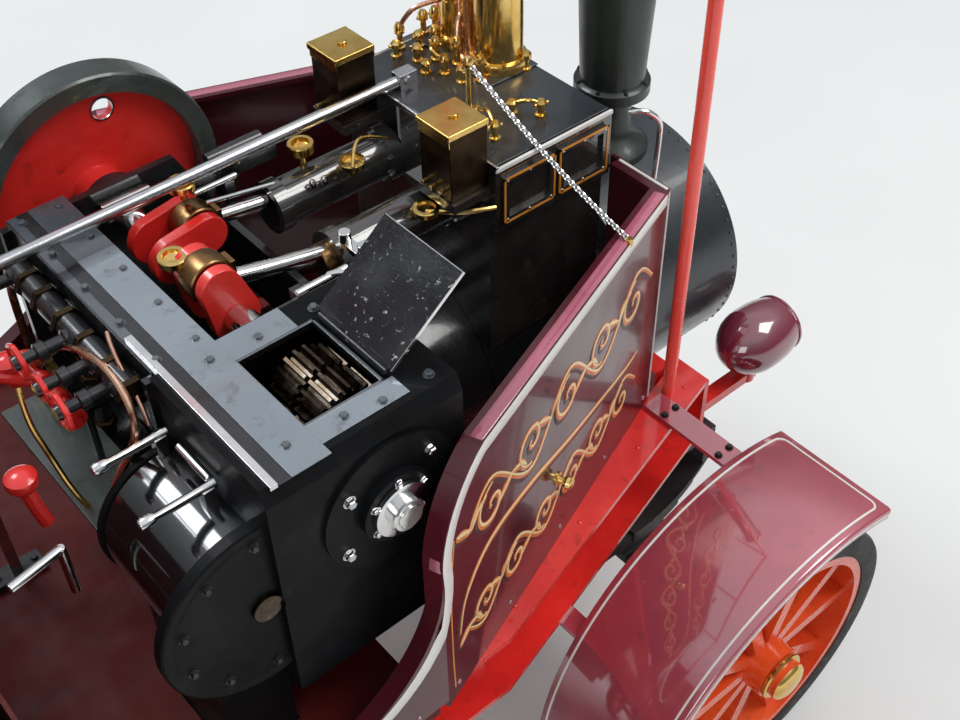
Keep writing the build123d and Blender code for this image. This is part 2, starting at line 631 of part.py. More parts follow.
# steering column and wheel
TILT = math.radians(6.0)
COLUMN_DIR = (-math.sin(TILT), 0, math.cos(TILT))
column_plane = Plane(origin=(FX - 508, 190, 340), x_dir=(0, 1, 0), z_dir=COLUMN_DIR)
with BuildPart() as steering_column:
    block(-526, -490, 172, 208, 340, 366)
    with BuildSketch(column_plane.offset(20)):
        Circle(8)
    extrude(amount=226)
    with BuildSketch(column_plane.offset(245)):
        Circle(5)
    extrude(amount=34)
steering_column.part.label = "steering_column"
export_step(steering_column.part, "parts/steering_column.step")

with BuildPart() as steering_wheel:
    with BuildSketch(column_plane.offset(262)):
        Circle(52)
        Circle(45, mode=Mode.SUBTRACT)
        with PolarLocations(28, 4):
            Rectangle(40, 6)
        Circle(11)
    extrude(amount=7)
    with BuildSketch(column_plane.offset(250)):
        Circle(10)
    extrude(amount=19)
    with BuildSketch(column_plane.offset(240)):
        Circle(5 + FIT)
    extrude(amount=60, mode=Mode.SUBTRACT)
steering_wheel.part.label = "steering_wheel"
export_step(steering_wheel.part, "parts/steering_wheel.step")

# open canopy frame: round posts and light top bars
POST_FRONT = (32.0, 146.0)
POST_REAR = (-591.0, CAB_HALF - 8.5)
CANOPY_Z = 930.0
POST_MID = (POST_FRONT[1] + POST_REAR[1]) / 2
with BuildPart() as canopy_frame:
    for s in (1.0, -1.0):
        disc_z(POST_FRONT[0], s * POST_FRONT[1], 5.5, RAIL_TOP, CANOPY_Z + 12)
        disc_z(POST_REAR[0], s * POST_REAR[1], 5.5, 590, CANOPY_Z + 12)
        with BuildSketch(level(CANOPY_Z)):
            with BuildLine():
                Polyline(
                    (40, s * (POST_FRONT[1] - 4)), (40, s * (POST_FRONT[1] + 6)),
                    (-598, s * (POST_REAR[1] + 4.5)), (-598, s * (POST_REAR[1] - 5.5)), close=True,
                )
            make_face()
        extrude(amount=8)
    for x, half in (POST_FRONT, ((POST_FRONT[0] + POST_REAR[0]) / 2, POST_MID), POST_REAR):
        block(x - 4, x + 4, -half, half, CANOPY_Z, CANOPY_Z + 8)
canopy_frame.part.label = "canopy_frame"
export_step(canopy_frame.part, "parts/canopy_frame.step")

# front mudguards: broad arcs fixed to the frame by straps
ARC_FRONT = math.radians(19.0)
ARC_REAR = math.radians(-88.0)
ARC_MID = (ARC_FRONT + ARC_REAR) / 2
STAY_X = -math.sqrt(GUARD_R ** 2 - (RAIL_FOOT - 2 - FRONT_R) ** 2)
for name, s in SIDES:
    with BuildPart() as mudguard:
        for r_in, y0, y1 in ((GUARD_R, 241.0, 353.0), (GUARD_R - 7, 350.0, 353.0)):
            with BuildSketch(side(s * y0)):
                with BuildLine():
                    pts = []
                    for r, order in ((GUARD_R + 3, (ARC_FRONT, ARC_MID, ARC_REAR)),
                                     (r_in, (ARC_REAR, ARC_MID, ARC_FRONT))):
                        pts.append([
                            (r * math.sin(a), FRONT_R + r * math.cos(a)) for a in order
                        ])
                    ThreePointArc(*pts[0])
                    Line(pts[0][2], pts[1][0])
                    ThreePointArc(*pts[1])
                    Line(pts[1][2], pts[0][0])
                make_face()
            extrude(amount=-s * (y1 - y0))
        block(2, 24, s * 146, s * 262, RAIL_TOP, RAIL_TOP + 4)
        block(2, 24, s * 250, s * 262, RAIL_TOP + 2, GUARD_TOP)
        block(STAY_X - 1, STAY_X + 17, s * 200, s * 300, RAIL_FOOT - 5, RAIL_FOOT)
    mudguard.part.label = "front_mudguard_" + name
    export_step(mudguard.part, "parts/front_mudguard_" + name + ".step")

# bullet headlamps on arms from the rail ends
with BuildPart() as headlamps:
    for s in (1.0, -1.0):
        with BuildSketch(Plane(origin=(FX, s * 146, 325), x_dir=(1, 0, 0), z_dir=(0, -1, 0))):
            with BuildLine():
                ThreePointArc((104, 0), (117, 22), (144, 31))
                ThreePointArc((144, 31), (164, 30), (178, 26))
                Line((178, 26), (178, 0))
                Line((178, 0), (104, 0))
            make_face()
        revolve(axis=Axis((FX, s * 146, 325), (1, 0, 0)))
        disc_z(140, s * 146, 6, 292, 298)
headlamps.part.label = "headlamps"
export_step(headlamps.part, "parts/headlamps.step")

with BuildPart() as lamp_brackets:
    for s in (1.0, -1.0):
        block(64, 69, s * 124, s * 160, 262, 332)
        block(69, 148, s * 139, s * 153, 280, 290)
        disc_z(140, s * 146, 9, 280, 292)
lamp_brackets.part.label = "lamp_brackets"
export_step(lamp_brackets.part, "parts/lamp_brackets.step")

# steps below the cab doorway
with BuildPart() as cab_steps:
    for s in (1.0, -1.0):
        block(-470, -390, s * RAIL_Y, s * (RAIL_Y + 52), 200, 206)
        for x in (-468.0, -400.0):
            block(x, x + 8, s * RAIL_Y, s * (RAIL_Y + 5), 206, RAIL_TOP)
cab_steps.part.label = "cab_steps"
export_step(cab_steps.part, "parts/cab_steps.step")

with BuildPart() as water_tank:
    block(-1770, -1480, -RAIL_IN, RAIL_IN, 196, 326)
    disc_x(120, 280, 9, -1480, -1470)
water_tank.part.label = "water_tank"
export_step(water_tank.part, "parts/water_tank.step")

# load bed: bearers, boarded floor with headboard, hinged side boards and tailboard
with BuildPart() as bed_bearers:
    for s in (1.0, -1.0):
        block(BED_REAR, BED_FRONT, s * RAIL_IN, s * RAIL_Y, RAIL_TOP, BED_Z - 18)
    for i in range(7):
        x = -640.0 - 200.0 * i
        block(x - 13, x + 13, -BED_HALF, BED_HALF, BED_Z - 18, BED_Z)
bed_bearers.part.label = "bed_bearers"
export_step(bed_bearers.part, "parts/bed_bearers.step")

SIDE_HINGES = (-740.0, -1140.0, -1340.0, -1740.0)
TAIL_HINGES = (-240.0, 0.0, 240.0)
TAIL_X = BED_REAR - 12
with BuildPart() as bed_floor:
    block(BED_REAR, BED_FRONT, -BED_HALF, BED_HALF, BED_Z, BED_TOP)
    block(BED_FRONT - 12, BED_FRONT, -BED_HALF, BED_HALF, BED_TOP, HEADBOARD_TOP)
    for s in (1.0, -1.0):
        for x in SIDE_HINGES:
            block(x - 25, x + 25, s * (BED_HALF - 20), s * BED_HALF, BED_Z - 7, BED_Z)
            block(x - 25, x - 20.3, s * (BED_HALF - 5), s * (HINGE_Y + 0.7), BED_Z - 7, BED_Z - 0.3)
            block(x + 20.3, x + 25, s * (BED_HALF - 5), s * (HINGE_Y + 0.7), BED_Z - 7, BED_Z - 0.3)
            disc_x(s * HINGE_Y, HINGE_Z, 1.5, x - 25, x + 25)
    for y in TAIL_HINGES:
        block(BED_REAR, BED_REAR + 8.7, y - 25, y + 25, BED_Z - 7, BED_Z)
        block(TAIL_X - 0.7, BED_REAR + 8.7, y - 25, y - 20.3, BED_Z - 7, BED_Z - 0.3)
        block(TAIL_X - 0.7, BED_REAR + 8.7, y + 20.3, y + 25, BED_Z - 7, BED_Z - 0.3)
        disc_y(TAIL_X, HINGE_Z, 1.5, y - 25, y + 25)
bed_floor.part.label = "bed_floor"
export_step(bed_floor.part, "parts/bed_floor.step")

for name, s in SIDES:
    with BuildPart() as side_board:
        block(BED_REAR + 2, BED_FRONT - 14, s * BOARD_Y, s * (BOARD_Y + 10), BED_Z, BOARD_TOP)
        for x in SIDE_HINGES:
            disc_x(s * HINGE_Y, HINGE_Z, 3, x - 20, x + 20)
            block(x - 14, x + 14, s * (BOARD_Y + 10), s * (BOARD_Y + 13), HINGE_Z, BOARD_TOP - 46)
            disc_x(s * HINGE_Y, HINGE_Z, 1.5 + FIT, x - 26, x + 26, Mode.SUBTRACT)
    side_board.part.label = "side_board_" + name
    export_step(side_board.part, "parts/side_board_" + name + ".step")

with BuildPart() as tailboard:
    block(BED_REAR - 11, BED_REAR - 1, 1 - BED_HALF, BED_HALF - 1, BED_Z, BOARD_TOP)
    for y in TAIL_HINGES:
        disc_y(TAIL_X, HINGE_Z, 3, y - 20, y + 20)
        block(BED_REAR - 14, BED_REAR - 11, y - 14, y + 14, HINGE_Z, BOARD_TOP - 46)
        disc_y(TAIL_X, HINGE_Z, 1.5 + FIT, y - 26, y + 26, Mode.SUBTRACT)
tailboard.part.label = "tailboard"
export_step(tailboard.part, "parts/tailboard.step")
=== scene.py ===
import random
from cmath import phase, rect
from math import acos, atan, atan2, cos, hypot, pi, radians, sin, sqrt

import bmesh
import bpy
from mathutils import Matrix, Vector


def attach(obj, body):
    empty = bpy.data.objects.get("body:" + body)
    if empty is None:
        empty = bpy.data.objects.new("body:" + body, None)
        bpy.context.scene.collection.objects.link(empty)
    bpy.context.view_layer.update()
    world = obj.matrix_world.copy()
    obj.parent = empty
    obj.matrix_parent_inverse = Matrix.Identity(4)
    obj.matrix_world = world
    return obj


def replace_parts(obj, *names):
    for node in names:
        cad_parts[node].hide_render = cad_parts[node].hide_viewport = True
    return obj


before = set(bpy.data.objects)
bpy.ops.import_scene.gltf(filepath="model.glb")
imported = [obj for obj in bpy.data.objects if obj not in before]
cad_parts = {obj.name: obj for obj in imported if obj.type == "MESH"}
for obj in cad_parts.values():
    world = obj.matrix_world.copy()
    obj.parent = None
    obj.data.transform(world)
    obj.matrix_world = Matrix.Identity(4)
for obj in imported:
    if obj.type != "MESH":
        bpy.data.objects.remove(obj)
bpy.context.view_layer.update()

FX = 0.846                          # the front axle in the shared frame, in metres

# places in millimetres: x forward of the front axle, y to the left, z above the ground
FRONT_Z = 144                       # front wheel centre
REAR_X, REAR_Z = -1257, 173         # rear wheel centre
BOILER_Z = 375                      # axis of boiler and smokebox
CYL_Z = 553                         # axis of the cylinders
CRANK_X, CRANK_Z = -308, 562
THROW = 28                          # crank radius
OUT_X, OUT_Z = -310, 527            # outer gear shaft
DRUM_X, DRUM_Z = -401, 494          # large gear, and the drum on its shaft
SMALL_X, SMALL_Z = -415, 275        # small sprocket of the drive chain
DECK_Z = 592                        # top of crank cover and gear case
BLOCK_Z = 602                       # foot of the fittings on the cylinder block
BACK_X = -400                       # backhead
CHIMNEY_X = 92
LAMP_X, LAMP_Y, LAMP_Z = 140, 146, 325
PANEL_X, PANEL_Y = 14, 140          # front corner of a side panel
PANEL_TOP, WAIST_Y = 553, 258       # its top edge, and the flat part beside the doorway
SLOPE = 0.371                       # how fast a panel splays outward
SPLAY = atan(SLOPE)
BREAK = PANEL_X - (WAIST_Y - PANEL_Y) / SLOPE
LONG = (PANEL_X - BREAK) / cos(SPLAY)     # length of the splayed part, which ends at x BREAK
BED_X0, BED_X1, BED_Y = -1862, -622, 355  # ends and half width of the bed
BED_Z0, BED_Z1 = 384, 396                 # its underside and top
HINGE_X = (-740, -1140, -1340, -1740)     # hinges of the side boards
HINGE_Y = (-240, 0, 240)                  # hinges of the tailboard

BODY = "lorry"
SIDES = (("left", 1), ("right", -1))
X, Y, Z = (1, 0, 0), (0, 1, 0), (0, 0, 1)
NX, NY, NZ = (-1, 0, 0), (0, -1, 0), (0, 0, -1)
UP = Vector(Z)
BOX_FACES = ((0, 1, 3, 2), (4, 6, 7, 5), (0, 4, 5, 1), (2, 3, 7, 6), (0, 2, 6, 4), (1, 5, 7, 3))


def P(x, y, z):
    """A place in millimetres, as a point of the shared frame in metres."""
    return Vector((FX + x / 1000, y / 1000, z / 1000))


def turn(k, n):
    """Angle of step k when a full circle has n steps."""
    return 2 * pi * k / n


# material nodes: nt is the node tree they go into
def nodes_of(name):
    m = bpy.data.materials.new(name)
    m.use_nodes = True
    nt = m.node_tree
    bsdf = next(n for n in nt.nodes if n.type == "BSDF_PRINCIPLED")
    return m, nt, bsdf


def dial(node, values):
    """Set a node's inputs by name."""
    for name, value in values.items():
        node.inputs[name].default_value = value


def noise(nt, scale, detail, rough, vector):
    n = nt.nodes.new("ShaderNodeTexNoise")
    dial(n, {"Scale": scale, "Detail": detail, "Roughness": rough})
    nt.links.new(vector, n.inputs["Vector"])
    return n.outputs["Fac"]


def coords(nt, scale=(1, 1, 1)):
    tc = nt.nodes.new("ShaderNodeTexCoord")
    mp = nt.nodes.new("ShaderNodeMapping")
    dial(mp, {"Scale": scale})
    nt.links.new(tc.outputs["Object"], mp.inputs["Vector"])
    return mp.outputs["Vector"]


def ramp(nt, fac, stops):
    """Colour along a row of (position, colour)."""
    r = nt.nodes.new("ShaderNodeValToRGB")
    while len(r.color_ramp.elements) < len(stops):
        r.color_ramp.elements.new(0.5)
    for e, (pos, col) in zip(r.color_ramp.elements, stops):
        e.position = pos
        e.color = (*col, 1)
    nt.links.new(fac, r.inputs["Fac"])
    return r.outputs["Color"]


def span(nt, fac, lo, hi, a=0.3, b=0.7):
    """The range from a to b spread over lo to hi."""
    mr = nt.nodes.new("ShaderNodeMapRange")
    dial(mr, {"From Min": a, "From Max": b, "To Min": lo, "To Max": hi})
    nt.links.new(fac, mr.inputs["Value"])
    return mr.outputs["Result"]


def bump(nt, bsdf, height, strength, dist):
    b = nt.nodes.new("ShaderNodeBump")
    dial(b, {"Strength": strength, "Distance": dist})
    nt.links.new(height, b.inputs["Height"])
    nt.links.new(b.outputs["Normal"], bsdf.inputs["Normal"])


def stained(nt, clean, mask, dirt):
    """The clean colour, mixed with the dirt's colour where the mask says so."""
    mix = nt.nodes.new("ShaderNodeMix")
    mix.data_type = "RGBA"
    first, second = (s for s in mix.inputs if s.type == "RGBA")
    nt.links.new(clean, first)
    second.default_value = (*dirt, 1)
    nt.links.new(mask, mix.inputs["Factor"])
    return next(o for o in mix.outputs if o.type == "RGBA")


def paint(name, dark, mid, light, rough=(0.12, 0.3), coat=0.6, metal=0.0, grime=None, peel=0.12,
          scale=9, ior=1.5, spec=0.5, speck=(60, 0.56, 0.72)):
    """Brushed gloss paint: broad tone, grime in specks, uneven gloss and a fine orange peel."""
    m, nt, bsdf = nodes_of(name)
    v = coords(nt)
    col = ramp(nt, noise(nt, scale, 5, 0.6, v), [(0.3, dark), (0.52, mid), (0.75, light)])
    if grime:
        spots = noise(nt, speck[0], 8, 0.72, v)
        col = stained(nt, col, span(nt, spots, 0, 0.85, speck[1], speck[2]), grime)
    nt.links.new(col, bsdf.inputs["Base Color"])
    fine = noise(nt, 35, 6, 0.65, v)
    nt.links.new(span(nt, fine, rough[0], rough[1]), bsdf.inputs["Roughness"])
    dial(bsdf, {"Metallic": metal, "Coat Weight": coat, "Coat Roughness": 0.06, "Coat IOR": ior,
                "Specular IOR Level": spec})
    bump(nt, bsdf, noise(nt, 420, 3, 0.6, v), peel, 0.0004)
    return m


def metal(name, dark, mid, light, rough=(0.15, 0.35), stretch=(1, 1, 1), scale=16):
    """Bare metal with a cloudy tone and fine scratches."""
    m, nt, bsdf = nodes_of(name)
    v = coords(nt, stretch)
    col = ramp(nt, noise(nt, scale, 6, 0.65, v), [(0.28, dark), (0.5, mid), (0.72, light)])
    nt.links.new(col, bsdf.inputs["Base Color"])
    dial(bsdf, {"Metallic": 1})
    fine = noise(nt, 110, 8, 0.7, v)
    nt.links.new(span(nt, fine, rough[0], rough[1]), bsdf.inputs["Roughness"])
    bump(nt, bsdf, fine, 0.25, 0.0003)
    return m


def wood(name, dark, mid, light):
    """Varnished plank with its grain along x."""
    m, nt, bsdf = nodes_of(name)
    v = coords(nt, (1.5, 14, 14))
    warp = noise(nt, 3, 6, 0.6, v)
    wave = nt.nodes.new("ShaderNodeTexWave")
    wave.wave_type = "BANDS"
    wave.bands_direction = "Y"
    dial(wave, {"Scale": 2.6, "Distortion": 7, "Detail": 4, "Detail Scale": 1.6})
    nt.links.new(v, wave.inputs["Vector"])
    mix = nt.nodes.new("ShaderNodeMath")
    mix.operation = "MULTIPLY"
    nt.links.new(warp, mix.inputs[0])
    nt.links.new(wave.outputs["Fac"], mix.inputs[1])
    grain = mix.outputs["Value"]
    nt.links.new(ramp(nt, grain, [(0.08, dark), (0.3, mid), (0.6, light)]), bsdf.inputs["Base Color"])
    nt.links.new(span(nt, warp, 0.32, 0.55), bsdf.inputs["Roughness"])
    dial(bsdf, {"Coat Weight": 0.25})
    bump(nt, bsdf, grain, 0.35, 0.0008)
    return m


def lens(name):
    """Silvered lamp glass."""
    m, nt, bsdf = nodes_of(name)
    n = noise(nt, 90, 3, 0.5, coords(nt))
    col = ramp(nt, n, [(0.3, (0.62, 0.66, 0.66)), (0.7, (0.82, 0.85, 0.85))])
    nt.links.new(col, bsdf.inputs["Base Color"])
    nt.links.new(span(nt, n, 0.03, 0.1), bsdf.inputs["Roughness"])
    dial(bsdf, {"Metallic": 0.75, "Coat Weight": 1})
    bump(nt, bsdf, n, 0.1, 0.0005)
    return m


# the materials: name, dark, middle and light tone, range of roughness, and for paint its coat
M = {
    "maroon": paint("maroon_gloss", (0.15, 0.013, 0.032), (0.21, 0.02, 0.045), (0.27, 0.032, 0.062),
                    (0.1, 0.24), 0.95, grime=(0.09, 0.035, 0.03), peel=0.08, ior=2.05),
    # mudguards: the maroon painted much lighter, as painted light on their sunlit tops
    "guard": paint("mudguard_maroon_painted_light", (0.32, 0.045, 0.065), (0.41, 0.062, 0.088), (0.49, 0.09, 0.12),
                   (0.1, 0.24), 0.95, grime=(0.2, 0.06, 0.06), peel=0.08, ior=2.2),
    # canopy posts: the red painted brighter, as painted light on their upright faces
    "post": paint("post_red_painted_light", (0.86, 0.06, 0.045), (0.95, 0.085, 0.06), (0.98, 0.12, 0.09),
                  (0.15, 0.32), 0.6, peel=0.08),
    "block": paint("block_black", (0.012, 0.012, 0.011), (0.024, 0.023, 0.021), (0.045, 0.043, 0.04),
                   (0.16, 0.36), 0.9, grime=(0.06, 0.05, 0.035), scale=14, ior=1.9),
    # side panels: the maroon painted darker, as painted shade on their outer faces
    "panel": paint("panel_maroon_painted_shade", (0.045, 0.005, 0.009), (0.075, 0.008, 0.014), (0.11, 0.014, 0.02),
                   (0.14, 0.3), 0.5, grime=(0.04, 0.02, 0.015), peel=0.08, ior=1.42, spec=0.3),
    "red": paint("signal_red", (0.58, 0.018, 0.015), (0.76, 0.03, 0.024), (0.85, 0.06, 0.045),
                 (0.15, 0.32), 0.6, grime=(0.3, 0.02, 0.015)),
    "wheel": paint("wheel_red", (0.62, 0.045, 0.01), (0.78, 0.085, 0.018), (0.85, 0.13, 0.03),
                   (0.2, 0.38), 0.5, grime=(0.3, 0.04, 0.02)),
    "cabred": paint("cab_red", (0.055, 0.004, 0.003), (0.1, 0.006, 0.004), (0.15, 0.01, 0.007),
                    (0.45, 0.7), 0.02, spec=0.22, grime=(0.05, 0.02, 0.02)),
    "black": paint("engine_black", (0.006, 0.0065, 0.007), (0.012, 0.013, 0.015), (0.026, 0.028, 0.032),
                   (0.12, 0.36), 0.45, grime=(0.045, 0.034, 0.022), peel=0.18, scale=14),
    "case": paint("satin_black", (0.003, 0.0032, 0.0035), (0.006, 0.0065, 0.0075), (0.013, 0.014, 0.016),
                  (0.34, 0.55), 0.03, grime=(0.02, 0.016, 0.012), peel=0.18, scale=14, spec=0.08),
    "gloss": paint("drum_gloss_black", (0.003, 0.0032, 0.0035), (0.006, 0.0065, 0.0075),
                   (0.013, 0.014, 0.016), (0.08, 0.16), 1, peel=0.05, scale=14, ior=1.6),
    "shade": paint("scroll_shade", (0.02, 0.004, 0.005), (0.03, 0.006, 0.007), (0.05, 0.01, 0.01),
                   (0.3, 0.45), 0.3, peel=0.05),
    "amber": paint("scroll_amber", (0.52, 0.12, 0.02), (0.68, 0.19, 0.04), (0.78, 0.28, 0.06),
                   (0.25, 0.4), 0.3, peel=0.05),
    "cream": paint("scroll_cream", (0.78, 0.55, 0.24), (0.88, 0.68, 0.34), (0.92, 0.78, 0.48),
                   (0.25, 0.4), 0.3, peel=0.05),
    "grease": paint("greasy_black", (0.006, 0.006, 0.007), (0.012, 0.013, 0.016), (0.035, 0.037, 0.042),
                    (0.1, 0.3), 0.2, grime=(0.55, 0.55, 0.55), peel=0.4, scale=30, spec=0.22,
                    speck=(210, 0.615, 0.65)),
    # gears: greasy dark bronze, its dark tone partly painted shade for the inside of the gear case
    "tooth": metal("greasy_gear_and_painted_shade", (0.04, 0.026, 0.016), (0.09, 0.066, 0.045), (0.3, 0.27, 0.23),
                   (0.18, 0.4), scale=55),
    "bronze": metal("rod_bronze", (0.16, 0.08, 0.035), (0.3, 0.17, 0.07), (0.48, 0.31, 0.14),
                    (0.2, 0.4), scale=26),
    # top rail of the side panels: the maroon painted pink, as painted sunlight on its top face
    "rose": paint("maroon_rail_painted_sunlight", (0.34, 0.07, 0.11), (0.42, 0.11, 0.16), (0.5, 0.16, 0.22),
                  (0.2, 0.34), 0.7, peel=0.06, ior=1.8),
    "deck": paint("deck_blue_grey", (0.035, 0.043, 0.052), (0.055, 0.066, 0.078), (0.085, 0.1, 0.115),
                  (0.16, 0.34), 0.8, grime=(0.03, 0.03, 0.032), scale=5, ior=1.9),
    "pale": paint("deck_strip_grey", (0.14, 0.165, 0.19), (0.195, 0.23, 0.26), (0.25, 0.285, 0.32),
                  (0.16, 0.34), 0.6, grime=(0.06, 0.065, 0.07), scale=5, ior=1.7),
    "shelf": paint("shelf_grey_green", (0.05, 0.06, 0.055), (0.085, 0.1, 0.095), (0.13, 0.15, 0.14),
                   (0.3, 0.55), 0.2, grime=(0.03, 0.028, 0.024)),
    "chimney": paint("chimney_green_black", (0.006, 0.011, 0.008), (0.012, 0.02, 0.015),
                     (0.022, 0.034, 0.026), (0.3, 0.52), 0.25, grime=(0.03, 0.028, 0.024), peel=0.25),
    "smoke": paint("smokebox_black", (0.012, 0.014, 0.017), (0.022, 0.026, 0.031), (0.04, 0.046, 0.054),
                   (0.22, 0.42), 0.35, grime=(0.05, 0.045, 0.04), peel=0.2),
    "rim": paint("flywheel_rim", (0.035, 0.045, 0.04), (0.07, 0.085, 0.078), (0.14, 0.165, 0.15),
                 (0.18, 0.42), 0.4, metal=0.5, grime=(0.02, 0.022, 0.02), scale=6),
    "steel": metal("polished_steel", (0.42, 0.43, 0.44), (0.6, 0.61, 0.62), (0.76, 0.76, 0.76),
                   (0.12, 0.32), (1, 8, 8)),
    "bright": metal("bright_steel", (0.62, 0.62, 0.62), (0.76, 0.76, 0.75), (0.86, 0.86, 0.85), (0.06, 0.2)),
    "brass": metal("polished_brass", (0.5, 0.3, 0.06), (0.78, 0.52, 0.16), (0.9, 0.68, 0.28), (0.1, 0.3)),
    "oldbrass": metal("dark_bronze", (0.022, 0.014, 0.008), (0.05, 0.032, 0.017), (0.11, 0.072, 0.036),
                      (0.28, 0.55), scale=30),
    "copper": metal("copper_pipe", (0.55, 0.28, 0.17), (0.8, 0.48, 0.33), (0.92, 0.66, 0.5), (0.14, 0.36)),
    "iron": paint("dark_iron", (0.012, 0.012, 0.013), (0.025, 0.025, 0.027), (0.05, 0.05, 0.05),
                  (0.35, 0.6), 0.1, metal=0.3, grime=(0.07, 0.045, 0.03), peel=0.35, scale=20),
    "white": paint("white_lining", (0.66, 0.64, 0.6), (0.76, 0.75, 0.72), (0.82, 0.81, 0.79),
                   (0.3, 0.45), 0.3, peel=0.05),
    "gold": paint("gold_lining", (0.62, 0.2, 0.018), (0.8, 0.32, 0.035), (0.88, 0.46, 0.08),
                  (0.25, 0.4), 0.3, metal=0.2, peel=0.05),
    "rubber": paint("solid_rubber", (0.01, 0.01, 0.01), (0.018, 0.018, 0.018), (0.034, 0.033, 0.031),
                    (0.6, 0.85), 0, grime=(0.1, 0.09, 0.075), peel=0.5, scale=22),
    "wood": wood("varnished_planks", (0.1, 0.045, 0.018), (0.24, 0.12, 0.05), (0.36, 0.2, 0.09)),
    "seat": wood("seat_wood", (0.06, 0.028, 0.012), (0.14, 0.07, 0.03), (0.22, 0.12, 0.055)),
    "lens": lens("lamp_lens"),
}

# the material of each node of the frame
NODES = {
    "red": "drawbar_jaw frame_rail_left frame_rail_right cross_members lamp_brackets crankshaft flywheel",
    "post": "canopy_frame",
    "panel": "side_panel_left side_panel_right",
    "guard": "front_mudguard_left front_mudguard_right",
    "maroon": "headlamps water_tank",
    "cabred": "cab_back cab_floor",
    "black": "boiler_barrel firebox horn_plates bed_bearers cab_steps steering_column",
    "smoke": "smokebox smokebox_door",
    "block": "cylinder_block",
    "deck": "crank_cover",
    "case": "gear_case",
    "grease": "gear_hatch_lid",
    "chimney": "chimney",
    "bright": "connecting_rods gear_levers",
    "steel": "reversing_gear track_rod steering_wheel",
    "tooth": "gears",
    "oldbrass": "lubricators",
    "brass": "safety_valves backhead_fittings",
    "wheel": "front_wheel_left front_wheel_right rear_wheel_left rear_wheel_right",
    "rubber": "front_tyre_left front_tyre_right rear_tyre_left rear_tyre_right",
    "wood": "bed_floor side_board_left side_board_right tailboard",
    "seat": "driver_seat",
    "iron": "firehole_door front_axle rear_axle road_springs knuckle_left knuckle_right drive_chain",
}
for mat, names in NODES.items():
    for node in names.split():
        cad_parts[node].data.materials.clear()
        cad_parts[node].data.materials.append(M[mat])

# mesh helpers: all draw into bm, and piece() turns what is drawn into an object and starts anew
bm = bmesh.new()


def piece(name, mat, body=BODY, angle=35, bevel=0.0):
    """An object of the drawn mesh, riding on a body; angle in degrees, bevel in millimetres."""
    global bm
    bmesh.ops.remove_doubles(bm, verts=bm.verts, dist=1e-6)
    bmesh.ops.recalc_face_normals(bm, faces=bm.faces)
    me = bpy.data.meshes.new(name)
    bm.to_mesh(me)
    bm.free()
    bm = bmesh.new()
    for p in me.polygons:
        p.use_smooth = True
    me.set_sharp_from_angle(angle=radians(angle))
    ob = bpy.data.objects.new(name, me)
    bpy.context.scene.collection.objects.link(ob)
    me.materials.append(M[mat])
    if bevel:
        bv = ob.modifiers.new("edge", "BEVEL")
        bv.width = bevel / 1000
        bv.segments = 2
        bv.limit_method = "ANGLE"
        bv.angle_limit = radians(40)
        bv.harden_normals = True
    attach(ob, body)
    return ob


def axis_frame(axis):
    """Unit vectors along an axis and two across it."""
    a = Vector(axis).normalized()
    h = UP if abs(a.z) < 0.9 else Vector(X)
    u = a.cross(h).normalized()
    return a, u, a.cross(u).normalized()


def bridge(ra, rb):
    """A band of faces between two rings."""
    n = len(ra)
    for k in range(n):
        bm.faces.new((ra[k], rb[k], rb[(k + 1) % n], ra[(k + 1) % n]))


def loft(rings):
    """Skin over a row of rings, closed at both ends."""
    for ra, rb in zip(rings, rings[1:]):
        bridge(ra, rb)
    bm.faces.new(rings[0])
    bm.faces.new(list(reversed(rings[-1])))


def loop(rings):
    """Skin over a row of rings whose last one meets the first."""
    for ra, rb in zip(rings, rings[1:] + rings[:1]):
        bridge(ra, rb)


def torus(spine, axis, r, sides):
    """Closed tube of radius r in metres along a row of (centre, outward direction) about an axis."""
    rings = []
    for c, out in spine:
        around = [turn(q, sides) for q in range(sides)]
        rings.append([bm.verts.new(c + (out * cos(b) + axis * sin(b)) * r) for b in around])
    loop(rings)


def corners(xs, ys, zs, place):
    """A box between two values on each axis, each corner set by place(x, y, z)."""
    vs = [bm.verts.new(place(x, y, z)) for x in xs for y in ys for z in zs]
    for f in BOX_FACES:
        bm.faces.new([vs[i] for i in f])


def box(x0, x1, y0, y1, z0, z1):
    corners((x0, x1), (y0, y1), (z0, z1), P)


def lathe(origin, axis, pts, seg, closed=True):
    """Turned form: pts are (along the axis, radius) in millimetres from an origin in metres."""
    a, u, w = axis_frame(axis)
    rings = []
    for h, r in pts:
        c = origin + a * (h / 1000)
        if r < 1e-6:
            rings.append([bm.verts.new(c)])
        else:
            rings.append([bm.verts.new(c + (u * cos(t) + w * sin(t)) * (r / 1000))
                          for t in (turn(k, seg) for k in range(seg))])
    for ra, rb in zip(rings, rings[1:]):
        if len(ra) > 1 and len(rb) > 1:
            bridge(ra, rb)
        elif len(ra) > 1:
            for k in range(seg):
                bm.faces.new((ra[k], rb[0], ra[(k + 1) % seg]))
        elif len(rb) > 1:
            for k in range(seg):
                bm.faces.new((ra[0], rb[k], rb[(k + 1) % seg]))
    if closed:
        for end in (rings[0], rings[-1]):
            if len(end) > 2:
                bm.faces.new(end)


def shell(origin, axis, pts, seg):
    """Turned form whose end rings stay open."""
    lathe(origin, axis, pts, seg, closed=False)


def disc(x, y, z, axis, r, h, seg=24, chamfer=0.4):
    c = min(chamfer, r * 0.3, h * 0.3)
    lathe(P(x, y, z), axis, [(0, 0), (0, r - c), (c, r), (h - c, r), (h, r - c), (h, 0)], seg)


def nut(x, y, z, axis, r, h):
    lathe(P(x, y, z), axis, [(0, 0), (0, r), (h * 0.8, r), (h, r * 0.82), (h, 0)], 6)


def bolt(x, y, z, axis, r=2.6, h=2.4):
    shell(P(x, y, z), axis, [(0, 0), (0, r * 1.35), (0.5, r * 1.35), (0.5, r)], 16)
    nut(*(Vector((x, y, z)) + Vector(axis).normalized() * 0.5), axis, r, h)


